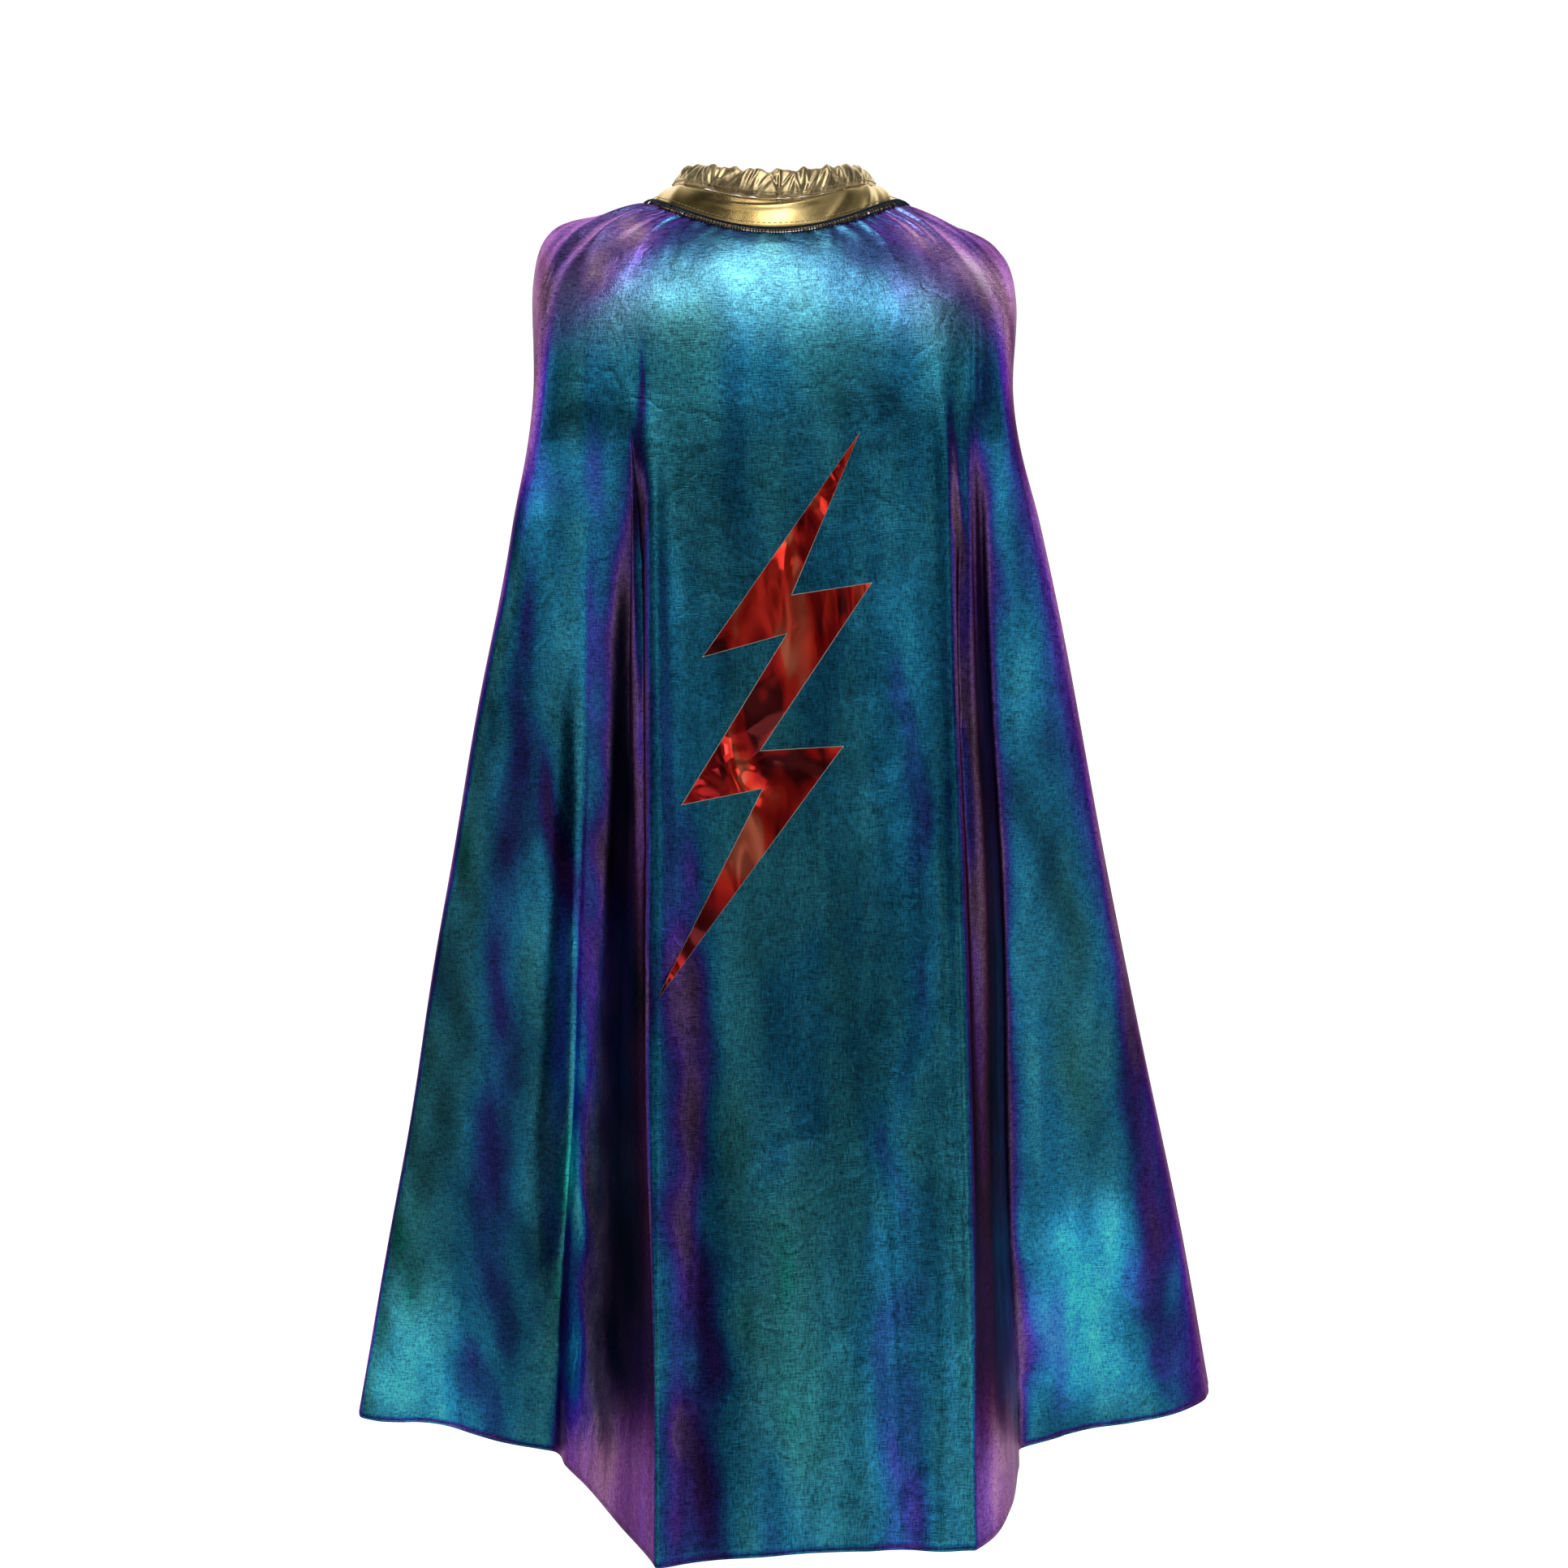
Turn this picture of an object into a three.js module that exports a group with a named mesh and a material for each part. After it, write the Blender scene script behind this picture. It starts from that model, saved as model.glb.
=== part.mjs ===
// A child's superhero cape: a lined iridescent cape gathered into a gold yoke, with an
// elasticated gold collar casing above it, a lightning bolt on the back, and a
// hook-and-loop tab that closes it at the throat.
//
// Millimetres, +Z up. The decorated back faces -Y, the wearer faces +Y, and +X is the
// wearer's right. The origin is on the neck's axis, level with the back of the neck seam.
//
// Angles round the neck are in degrees: 0 is the middle of the back, +90 the wearer's
// right, -90 the left and 180 the throat.

import * as THREE from "three";
import { mergeVertices } from "three/addons/utils/BufferGeometryUtils.js";

// ---- driving dimensions -------------------------------------------------------------

// Rings of the collar: half width, half depth, and height at the back, sides and throat.
const NECK_SEAM = { rx: 70, ry: 60, cy: 0, back: 0, side: 22, front: -20 };
const YOKE_TOP = { rx: 56.5, ry: 52, cy: 0, back: 18, side: 30, front: -4 };
const CASING_TOP = { rx: 49, ry: 46, cy: 0, back: 35, side: 41, front: 14 };
const COLLAR_END = 172; // the collar's two ends stop this far round from the back

// Rings that the cape hangs over, from the neck seam to the shoulder blades. reach is how
// far round each one the front edges lie, and square is how boxy it is: 2 is an ellipse.
const DRAPE_RINGS = [
  { rx: 71.5, ry: 61.5, cy: 0, back: -2, side: 20, front: -22, reach: 160, down: 0 },
  { rx: 97, ry: 72, cy: 2, back: -11, side: 12, front: -27, reach: 150, down: 28 },
  { rx: 121, ry: 83.5, cy: 4, back: -27, side: 2, front: -40, reach: 132, down: 56, square: 2.3 },
  { rx: 131, ry: 92.5, cy: 5, back: -54, side: -28, front: -75, reach: 122, down: 92, square: 4 },
  { rx: 129, ry: 98, cy: 5, back: -90, side: -90, front: -90, reach: 115, down: 128, square: 8 },
];
const HEM_DOWN = 730; // length of the cape from neck seam to hem
const FALL_STEPS = [0.12, 0.4, 0.75, 1]; // shares of the fall from shoulder blades to hem
const TUCK_SHARES = [0.15, 0.55, 1, 0]; // how much of its tuck a fold line has at each
const SHOULDER_LEAN = 0.04; // the left shoulder sits higher than the right by this slope

// Fold lines from the left front edge round the back to the right front edge: where each
// leaves the shoulder-blade ring, the hem point it falls to, and how far it is tucked
// towards the wearer in between.
const FOLDS = [
  { at: -115, hem: [-226, 118, -650] }, // left front edge, turned forward
  { at: -103, hem: [-229, 112, -652] },
  { at: -90, hem: [-233, 104, -653] },
  { at: -77, hem: [-237, 96, -655] },
  { at: -64, hem: [-240, 86, -657] },
  { at: -54, hem: [-241, 77, -660] },
  { at: -50.5, hem: [-239, 71, -661] }, // left corner
  { at: -47.5, hem: [-225, 66, -663] },
  { at: -44.5, hem: [-198, 65, -665] },
  { at: -42, hem: [-170, 63, -669] },
  { at: -39.7, hem: [-146, 57, -673], tuck: 4 },
  { at: -37.7, hem: [-126, 51, -676], tuck: 14 }, // inner end of the left wing
  { at: -36, hem: [-117, 20, -678], tuck: 30 },
  { at: -34, hem: [-105, -14, -681], tuck: 40 }, // ridge beside the left pleat wall
  { at: -31.2, hem: [-83, -88, -686], tuck: 22 },
  { at: -28.6, hem: [-61.5, -159, -690] },
  { at: -27.6, hem: [-59.8, -164, -691] }, // left edge of the centre panel
  { at: -26.2, hem: [-55, -162.5, -691] },
  { at: -14, hem: [-28, -149, -690] },
  { at: 3, hem: [12, -136, -690] },
  { at: 20, hem: [56, -130, -690] },
  { at: 34.6, hem: [100, -130, -690] },
  { at: 36.2, hem: [104.5, -129.5, -690] }, // right edge of the centre panel
  { at: 37.2, hem: [107, -125, -690] },
  { at: 38.2, hem: [114, -110, -689] },
  { at: 39.4, hem: [127, -55, -685] },
  { at: 40.6, hem: [136, 20, -680] },
  { at: 42.5, hem: [143, 66, -677], tuck: 4 }, // inner end of the right wing
  { at: 45, hem: [165, 70, -673] },
  { at: 48, hem: [202, 77, -666] },
  { at: 50.5, hem: [234, 91, -660] },
  { at: 53, hem: [250, 104, -657] },
  { at: 57, hem: [255, 114, -655] }, // right corner
  { at: 67, hem: [256, 121, -655] },
  { at: 79, hem: [257, 128, -654] },
  { at: 92, hem: [258, 136, -653] },
  { at: 104, hem: [257, 144, -652] },
  { at: 115, hem: [256, 150, -651] }, // right front edge, turned forward
];

const CLOTH = { shell: [-0.4, 0.4], lining: [-1.7, -1.1] }; // layers across the drape surface
const YOKE_LAYER = [0.4, 1.3];
const FACING_LAYER = [-1.3, -0.4];
const CASING_OUTER = 2.3;
const CASING_WALL = 0.8;
const ELASTIC_HALF = 0.8;
const LOOP_LAYER = [1.7, 2.5];
const HOOK_LAYER = [2.9, 3.7];
const TAB_LAYER = [4.1, 5.0];
const THREAD = 0.4; // radius of the drawn stitch lines
const SEAM_THREAD = 0.6; // radius of the overlock at the neck seam
const ROLL = 0.9; // radius of the turned hem and front edges

const TAB_FREE_END = 142; // the tab runs from the left end of the collar to here
const TAB_ROOT = 187.2;
const TAB_STEP = 174; // past the gap between the collar's ends, it lies over the right end

// The bolt's corners on the back: across from the middle, and height.
const BOLT = [
  [44.5, -113], [8.5, -198.5], [50.5, -192], [-8, -280], [35.5, -277.5],
  [-61, -409], [-5.5, -299], [-47.5, -307.5], [7, -218], [-37, -230.5],
];
const BOLT_LAYER = [1.7, 2.2];
const BOND_LAYER = [0.9, 1.3];
const BOLT_FACET = 16; // longest facet edge

const FOLD_STEPS = 2; // grid columns from one fold line to the next
const ROWS_DOWN = [0, 14, 28, 42, 56, 74, 92, 110, 128, 165, 201, 285, 369, 459, 549, 640, 730];

// ---- curves and surfaces ------------------------------------------------------------

const radians = (degrees) => (degrees * Math.PI) / 180;

function ringPoint(ring, angle) {
  const turn = radians(angle);
  const ends = (ring.back + ring.front) / 2;
  const height =
    (ends + ring.side) / 2 +
    ((ring.back - ring.front) / 2) * Math.cos(turn) +
    ((ends - ring.side) / 2) * Math.cos(2 * turn);
  const power = ring.square ?? 2;
  const swollen = (Math.abs(Math.sin(turn)) ** power + Math.abs(Math.cos(turn)) ** power) ** (-1 / power);
  return new THREE.Vector3(
    ring.rx * Math.sin(turn) * swollen,
    ring.cy - ring.ry * Math.cos(turn) * swollen,
    height,
  );
}

// A smooth curve through points that sit at given places along it.
function curveThrough(places, points, place) {
  const last = places.length - 1;
  let i = 0;
  while (i < last - 1 && place > places[i + 1]) i += 1;
  const span = places[i + 1] - places[i];
  const w = (place - places[i]) / span;
  const slope = (k) => points[k + 1].clone().sub(points[k]).divideScalar(places[k + 1] - places[k]);
  const tangent = (k) => {
    if (k === 0) return slope(0);
    if (k === last) return slope(last - 1);
    const before = places[k] - places[k - 1];
    const after = places[k + 1] - places[k];
    return slope(k - 1)
      .multiplyScalar(after)
      .addScaledVector(slope(k), before)
      .divideScalar(before + after);
  };
  return points[i]
    .clone()
    .multiplyScalar((1 + 2 * w) * (1 - w) ** 2)
    .addScaledVector(tangent(i), span * w * (1 - w) ** 2)
    .addScaledVector(points[i + 1], w * w * (3 - 2 * w))
    .addScaledVector(tangent(i + 1), span * w * w * (w - 1));
}

const BLADE_RING = DRAPE_RINGS[DRAPE_RINGS.length - 1];
const PLACES_DOWN = [
  ...DRAPE_RINGS.map((ring) => ring.down),
  ...FALL_STEPS.map((share) => BLADE_RING.down + share * (HEM_DOWN - BLADE_RING.down)),
];

function foldLine(fold) {
  const over = DRAPE_RINGS.map((ring) => {
    const point = ringPoint(ring, (fold.at * ring.reach) / BLADE_RING.reach);
    point.z -= SHOULDER_LEAN * point.x * Math.sin((ring.down / BLADE_RING.down) * Math.PI);
    return point;
  });
  const hem = new THREE.Vector3(...fold.hem);
  const blade = over[over.length - 1];
  const fall = FALL_STEPS.map((share, i) => {
    const point = blade.clone().lerp(hem, share);
    point.y += (fold.tuck ?? 0) * TUCK_SHARES[i];
    return point;
  });
  return [...over, ...fall];
}

const FOLD_LINES = FOLDS.map(foldLine);

// Places of the fold lines across the cape: half by their spacing at the hem, half by
// their spacing at the shoulder blades.
const BLADE = DRAPE_RINGS.length - 1;
const PLACES_ACROSS = FOLD_LINES.reduce((places, line, i) => {
  if (i === 0) return [0];
  const before = FOLD_LINES[i - 1];
  const gap = line.at(-1).distanceTo(before.at(-1)) + line[BLADE].distanceTo(before[BLADE]);
  return [...places, places[i - 1] + gap / 2];
}, []);

// The middle of the cape's cloth, between fold lines (across) and down from the neck seam.
function drapePoint(across, down) {
  const row = FOLD_LINES.map((line) => curveThrough(PLACES_DOWN, line, down));
  return curveThrough(PLACES_ACROSS, row, across);
}

function offsetPoint(surface, a, b, reachA, reachB, distance) {
  const clampA = (value) => Math.min(Math.max(value, reachA[0]), reachA[1]);
  const clampB = (value) => Math.min(Math.max(value, reachB[0]), reachB[1]);
  const stepA = (reachA[1] - reachA[0]) * 0.002;
  const stepB = (reachB[1] - reachB[0]) * 0.002;
  const alongA = surface(clampA(a + stepA), b).sub(surface(clampA(a - stepA), b));
  const alongB = surface(a, clampB(b + stepB)).sub(surface(a, clampB(b - stepB)));
  const normal = alongA.cross(alongB).normalize();
  return surface(a, b).addScaledVector(normal, -distance);
}

const ACROSS_REACH = [0, PLACES_ACROSS.at(-1)];
const DOWN_REACH = [0, HEM_DOWN];

// A positive distance is outwards, away from the wearer.
function clothPoint(across, down, distance) {
  return offsetPoint(drapePoint, across, down, ACROSS_REACH, DOWN_REACH, distance);
}

// Heights on the collar: 0 is the neck seam, 1 the yoke's top and 2 the casing's top.
function collarMiddle(angle, height) {
  const low = height <= 1 ? NECK_SEAM : YOKE_TOP;
  const high = height <= 1 ? YOKE_TOP : CASING_TOP;
  const share = height <= 1 ? height : height - 1;
  return ringPoint(low, angle).lerp(ringPoint(high, angle), share);
}

function collarPoint(angle, height, distance) {
  const ringBelow = height < 1 ? 0 : 1;
  const below = collarMiddle(angle, ringBelow);
  const above = collarMiddle(angle, ringBelow + 1);
  const round = collarMiddle(angle + 1, height).sub(collarMiddle(angle - 1, height));
  const normal = round.cross(above.sub(below)).normalize();
  return collarMiddle(angle, height).addScaledVector(normal, distance);
}

// ---- closed solids ------------------------------------------------------------------

function geometryFrom(points, triangles) {
  const geometry = new THREE.BufferGeometry();
  const numbers = points.flatMap((point) => [point.x, point.y, point.z]);
  geometry.setAttribute("position", new THREE.Float32BufferAttribute(numbers, 3));
  geometry.setIndex(triangles.flat());
  const merged = mergeVertices(geometry, 1e-4);
  if (signedVolume(merged) < 0) flip(merged);
  merged.computeVertexNormals();
  return merged;
}

function signedVolume(geometry) {
  const position = geometry.attributes.position;
  const index = geometry.index.array;
  const corner = (i) => new THREE.Vector3().fromBufferAttribute(position, index[i]);
  let volume = 0;
  for (let i = 0; i < index.length; i += 3) {
    volume += corner(i).dot(corner(i + 1).cross(corner(i + 2))) / 6;
  }
  return volume;
}

function flip(geometry) {
  const index = geometry.index.array;
  for (let i = 0; i < index.length; i += 3) {
    [index[i + 1], index[i + 2]] = [index[i + 2], index[i + 1]];
  }
}

// A plate between two grids of points with the same rows and columns.
function plate(top, bottom) {
  const rows = top.length;
  const columns = top[0].length;
  const points = [...top.flat(), ...bottom.flat()];
  const upper = (r, c) => r * columns + c;
  const lower = (r, c) => rows * columns + upper(r, c);
  const right = columns - 1;
  const last = rows - 1;
  const triangles = [];
  const quad = (a, b, c, d) => triangles.push([a, b, c], [a, c, d]);
  for (let r = 0; r < last; r += 1) {
    for (let c = 0; c < right; c += 1) {
      quad(upper(r, c), upper(r, c + 1), upper(r + 1, c + 1), upper(r + 1, c));
      quad(lower(r, c), lower(r + 1, c), lower(r + 1, c + 1), lower(r, c + 1));
    }
    quad(upper(r, 0), upper(r + 1, 0), lower(r + 1, 0), lower(r, 0));
    quad(upper(r + 1, right), upper(r, right), lower(r, right), lower(r + 1, right));
  }
  for (let c = 0; c < right; c += 1) {
    quad(upper(0, c + 1), upper(0, c), lower(0, c), lower(0, c + 1));
    quad(upper(last, c), upper(last, c + 1), lower(last, c + 1), lower(last, c));
  }
  return geometryFrom(points, triangles);
}

// A skin swept through closed loops, shut by a flat fan at each end, or joined end to
// start when it runs in a ring.
function sweep(loops, ring = false) {
  const size = loops[0].length;
  const points = loops.flat();
  const triangles = [];
  const spans = ring ? loops.length : loops.length - 1;
  for (let i = 0; i < spans; i += 1) {
    const here = i * size;
    const next = ((i + 1) % loops.length) * size;
    for (let k = 0; k < size; k += 1) {
      const m = (k + 1) % size;
      triangles.push([here + k, here + m, next + m], [here + k, next + m, next + k]);
    }
  }
  if (!ring) {
    const end = (loops.length - 1) * size;
    for (let k = 1; k < size - 1; k += 1) {
      triangles.push([0, k + 1, k], [end, end + k, end + k + 1]);
    }
  }
  return geometryFrom(points, triangles);
}

function cord(points, radius, sides = 5, ring = false) {
  const count = points.length;
  const loops = points.map((point, i) => {
    const before = ring ? points[(i + count - 1) % count] : points[Math.max(i - 1, 0)];
    const after = ring ? points[(i + 1) % count] : points[Math.min(i + 1, count - 1)];
    const along = after.clone().sub(before).normalize();
    const up = Math.abs(along.z) > 0.8 ? new THREE.Vector3(0, 1, 0) : new THREE.Vector3(0, 0, 1);
    const side = along.clone().cross(up).normalize();
    const over = side.clone().cross(along);
    return steps(0, 360, sides).slice(0, sides).map((angle) =>
      point
        .clone()
        .addScaledVector(side, radius * Math.cos(radians(angle)))
        .addScaledVector(over, radius * Math.sin(radians(angle))),
    );
  });
  return sweep(loops, ring);
}

function steps(from, to, count) {
  return Array.from({ length: count + 1 }, (_, i) => from + ((to - from) * i) / count);
}

// ---- the cape's cloth ---------------------------------------------------------------

const COLUMNS_ACROSS = PLACES_ACROSS.slice(1).reduce(
  (all, place, i) => [...all, ...steps(PLACES_ACROSS[i], place, FOLD_STEPS).slice(1)],
  [0],
);

function clothLayer([inner, outer]) {
  const face = (distance) =>
    ROWS_DOWN.map((down) => COLUMNS_ACROSS.map((across) => clothPoint(across, down, distance)));
  return plate(face(outer), face(inner));
}

// The turned edges lie just past the cloth's own edge, where shell and lining meet.
const LAYERS_MIDDLE = (CLOTH.shell[1] + CLOTH.lining[0]) / 2;
const EDGE_STAND_OFF = 1.6;

function edgeRoll(inside, edge) {
  return edge.map((point, i) => {
    const outwards = point.clone().sub(inside[i]).normalize();
    return point.clone().addScaledVector(outwards, EDGE_STAND_OFF);
  });
}

// Each roll points away from a line a little inside the edge.
const INSIDE_HEM = 10;
const INSIDE_FRONT_EDGE = 4;

function hemRoll() {
  const row = (down) => COLUMNS_ACROSS.map((across) => clothPoint(across, down, LAYERS_MIDDLE));
  return cord(edgeRoll(row(HEM_DOWN - INSIDE_HEM), row(HEM_DOWN)), ROLL);
}

function frontEdgeRoll(side) {
  const edge = side < 0 ? 0 : ACROSS_REACH[1];
  const inside = edge - side * INSIDE_FRONT_EDGE;
  const rows = ROWS_DOWN.slice(1, -1);
  const column = (across) => rows.map((down) => clothPoint(across, down, LAYERS_MIDDLE));
  return cord(edgeRoll(column(inside), column(edge)), ROLL);
}

// ---- the bolt -----------------------------------------------------------------------

// On the centre panel every fold line falls straight from the shoulder-blade ring to the
// hem, so the height alone gives the distance down, and the width is found by halving.
const PANEL_EDGES = [-28.6, 38.2]; // fold lines just past the panel's left and right edges
const PANEL_HEM = -690;
const [PANEL_LEFT, PANEL_RIGHT] = PANEL_EDGES.map(
  (at) => PLACES_ACROSS[FOLDS.findIndex((fold) => fold.at === at)],
);
const HALVINGS = 24;

function panelPoint(x, z, distance) {
  const share = (z - BLADE_RING.back) / (PANEL_HEM - BLADE_RING.back);
  const down = BLADE_RING.down + share * (HEM_DOWN - BLADE_RING.down);
  let left = PANEL_LEFT;
  let right = PANEL_RIGHT;
  for (let i = 0; i < HALVINGS; i += 1) {
    const middle = (left + right) / 2;
    if (drapePoint(middle, down).x < x) left = middle;
    else right = middle;
  }
  return clothPoint(left, down, distance);
}

// Splits every facet edge longer than the limit, so that neighbours stay matched.
function splitFacets(corners, facets, longest) {
  let current = facets;
  for (;;) {
    const middles = new Map();
    const middleOf = (a, b) => {
      const [p, q] = [corners[a], corners[b]];
      if (Math.hypot(p[0] - q[0], p[1] - q[1]) <= longest) return -1;
      const key = a < b ? `${a},${b}` : `${b},${a}`;
      if (!middles.has(key)) {
        corners.push([(p[0] + q[0]) / 2, (p[1] + q[1]) / 2]);
        middles.set(key, corners.length - 1);
      }
      return middles.get(key);
    };
    const next = current.flatMap(([a, b, c]) =>
      splitFacet([a, b, c], [middleOf(a, b), middleOf(b, c), middleOf(c, a)]));
    if (middles.size === 0) return current;
    current = next;
  }
}

// The smaller facets of one facet, given the new corners on its edges; -1 is an edge kept.
function splitFacet([a, b, c], [ab, bc, ca]) {
  if (ab >= 0 && bc >= 0 && ca >= 0) return [[a, ab, ca], [ab, b, bc], [ca, bc, c], [ab, bc, ca]];
  if (ab >= 0 && bc >= 0) return [[ab, b, bc], [a, ab, bc], [a, bc, c]];
  if (bc >= 0 && ca >= 0) return [[bc, c, ca], [b, bc, ca], [a, b, ca]];
  if (ca >= 0 && ab >= 0) return [[ca, a, ab], [c, ca, ab], [b, c, ab]];
  if (ab >= 0) return [[a, ab, c], [ab, b, c]];
  if (bc >= 0) return [[b, bc, a], [bc, c, a]];
  if (ca >= 0) return [[c, ca, b], [ca, a, b]];
  return [[a, b, c]];
}

function boltLayer([inner, outer]) {
  const outline = BOLT.map(([x, z]) => new THREE.Vector2(x, z));
  const corners = BOLT.map((corner) => [...corner]);
  const facets = splitFacets(corners, THREE.ShapeUtils.triangulateShape(outline, []), BOLT_FACET);
  const count = corners.length;
  const points = [outer, inner].flatMap((distance) =>
    corners.map(([x, z]) => panelPoint(x, z, distance)));
  const triangles = facets.flatMap(([a, b, c]) => [[a, b, c], [a + count, c + count, b + count]]);
  const directed = new Set(facets.flatMap(([a, b, c]) => [`${a},${b}`, `${b},${c}`, `${c},${a}`]));
  for (const edge of directed) {
    const [a, b] = edge.split(",").map(Number);
    if (!directed.has(`${b},${a}`)) triangles.push([b, a, a + count], [b, a + count, b + count]);
  }
  return geometryFrom(points, triangles);
}

// ---- the collar ---------------------------------------------------------------------

const COLLAR_STEP = 8; // degrees between the collar's facets

function collarAngles(from, to, step = COLLAR_STEP) {
  return steps(from, to, Math.ceil(Math.abs(to - from) / step));
}

function collarBand(angles, heights, inner, outer) {
  const face = (distance) =>
    heights.map((height) => angles.map((angle) => collarPoint(angle, height, distance(angle))));
  return plate(face(outer), face(inner));
}

function flatBand(from, to, heights, [inner, outer], step) {
  return collarBand(collarAngles(from, to, step), heights, () => inner, () => outer);
}

// The casing is a flattened tube, open at both ends, with the elastic inside it.
const CASING_OUTSIDE = { low: 1.06, high: 2 };
const CASING_INSIDE = { low: 1.12, high: 1.94 };

function collarCasing() {
  const angles = collarAngles(-COLLAR_END, COLLAR_END);
  const loop = (angle, half, { low, high }) => {
    const heights = [low, (low + high) / 2, high];
    return [
      ...heights.map((height) => collarPoint(angle, height, half)),
      ...heights.reverse().map((height) => collarPoint(angle, height, -half)),
    ];
  };
  const outside = angles.map((angle) => loop(angle, CASING_OUTER, CASING_OUTSIDE));
  const inner = CASING_OUTER - CASING_WALL;
  const inside = angles.map((angle) => loop(angle, inner, CASING_INSIDE));
  const size = outside[0].length;
  const points = [...outside.flat(), ...inside.flat()];
  const shift = outside.length * size;
  const triangles = [];
  for (let k = 0; k < size; k += 1) {
    const m = (k + 1) % size;
    for (let i = 0; i < angles.length - 1; i += 1) {
      const here = i * size;
      const next = here + size;
      triangles.push([here + k, here + m, next + m], [here + k, next + m, next + k]);
      triangles.push([shift + here + k, shift + next + m, shift + here + m]);
      triangles.push([shift + here + k, shift + next + k, shift + next + m]);
    }
    const end = (angles.length - 1) * size;
    triangles.push([k, shift + k, shift + m], [k, shift + m, m]);
    triangles.push([end + k, end + m, shift + end + m], [end + k, shift + end + m, shift + end + k]);
  }
  return geometryFrom(points, triangles);
}

function collarThread(from, to, height, distance, radius = THREAD) {
  return cord(collarAngles(from, to).map((angle) => collarPoint(angle, height, distance)), radius, 4);
}

// ---- the throat closure -------------------------------------------------------------

const TAB_HEIGHTS = [0.12, 0.5, 0.88];
const PATCH_HEIGHTS = [0.2, 0.5, 0.8];
const PATCH_STEP = 4;

// The tab starts in line with the yoke, then steps out over the right end of the collar.
function tabLift(angle) {
  const share = Math.min(Math.max((TAB_ROOT - angle) / (TAB_ROOT - TAB_STEP), 0), 1);
  return share * share * (3 - 2 * share);
}

function closureTab() {
  const layer = (index) => (angle) =>
    YOKE_LAYER[index] + (TAB_LAYER[index] - YOKE_LAYER[index]) * tabLift(angle);
  return collarBand(collarAngles(TAB_FREE_END, TAB_ROOT, PATCH_STEP), TAB_HEIGHTS, layer(0), layer(1));
}

function boxStitch(from, to, low, high, distance) {
  const round = [
    ...collarAngles(from, to, PATCH_STEP).map((angle) => [angle, low]),
    ...collarAngles(to, from, PATCH_STEP).map((angle) => [angle, high]),
  ];
  return cord(round.map(([angle, height]) => collarPoint(angle, height, distance)), THREAD, 4, true);
}

// ---- the label ----------------------------------------------------------------------

const LABEL = { wide: 26, tall: 20, thick: 0.5, y: -54.5, top: -3 };

function label() {
  const face = (y) =>
    [0, 1].map((row) => [-1, 1].map((side) =>
      new THREE.Vector3((side * LABEL.wide) / 2, y, LABEL.top - row * LABEL.tall)));
  return plate(face(LABEL.y), face(LABEL.y + LABEL.thick));
}

function labelStitch() {
  const y = LABEL.y + LABEL.thick + STITCH_OFF;
  const ends = steps(-LABEL.wide / 2 + 2, LABEL.wide / 2 - 2, 2);
  return cord(ends.map((x) => new THREE.Vector3(x, y, LABEL.top - 2)), THREAD, 4);
}

// ---- materials and assembly ---------------------------------------------------------

const LOOKS = {
  shell: { color: 0x1f6b78, roughness: 0.35, metalness: 0.8 },
  lining: { color: 0x1d2a3a, roughness: 0.8, metalness: 0 },
  edge: { color: 0x3a3f8a, roughness: 0.4, metalness: 0.6 },
  bolt: { color: 0xb30d12, roughness: 0.15, metalness: 0.95 },
  bond: { color: 0xd8d4c8, roughness: 0.6, metalness: 0 },
  gold: { color: 0xc4a862, roughness: 0.25, metalness: 0.9 },
  oldGold: { color: 0x8a7440, roughness: 0.35, metalness: 0.85 },
  goldThread: { color: 0xd9c487, roughness: 0.6, metalness: 0.1 },
  darkThread: { color: 0x15203a, roughness: 0.8, metalness: 0 },
  elastic: { color: 0xf0efe8, roughness: 0.9, metalness: 0 },
  fastener: { color: 0x1b1b1d, roughness: 0.9, metalness: 0 },
  label: { color: 0xf4f2ea, roughness: 0.7, metalness: 0 },
};

const END = COLLAR_END;
const YOKE_HEIGHTS = [0, 0.5, 0.98];
const ELASTIC_HEIGHTS = [1.2, 1.86];
const SEAM_HEIGHT = 0.02;
const SEAM_OUT = 2.2; // the seam threads' distance from the middle of the collar's cloth
const STITCH_OFF = 0.8; // a stitch line's distance from the cloth under it

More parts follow.
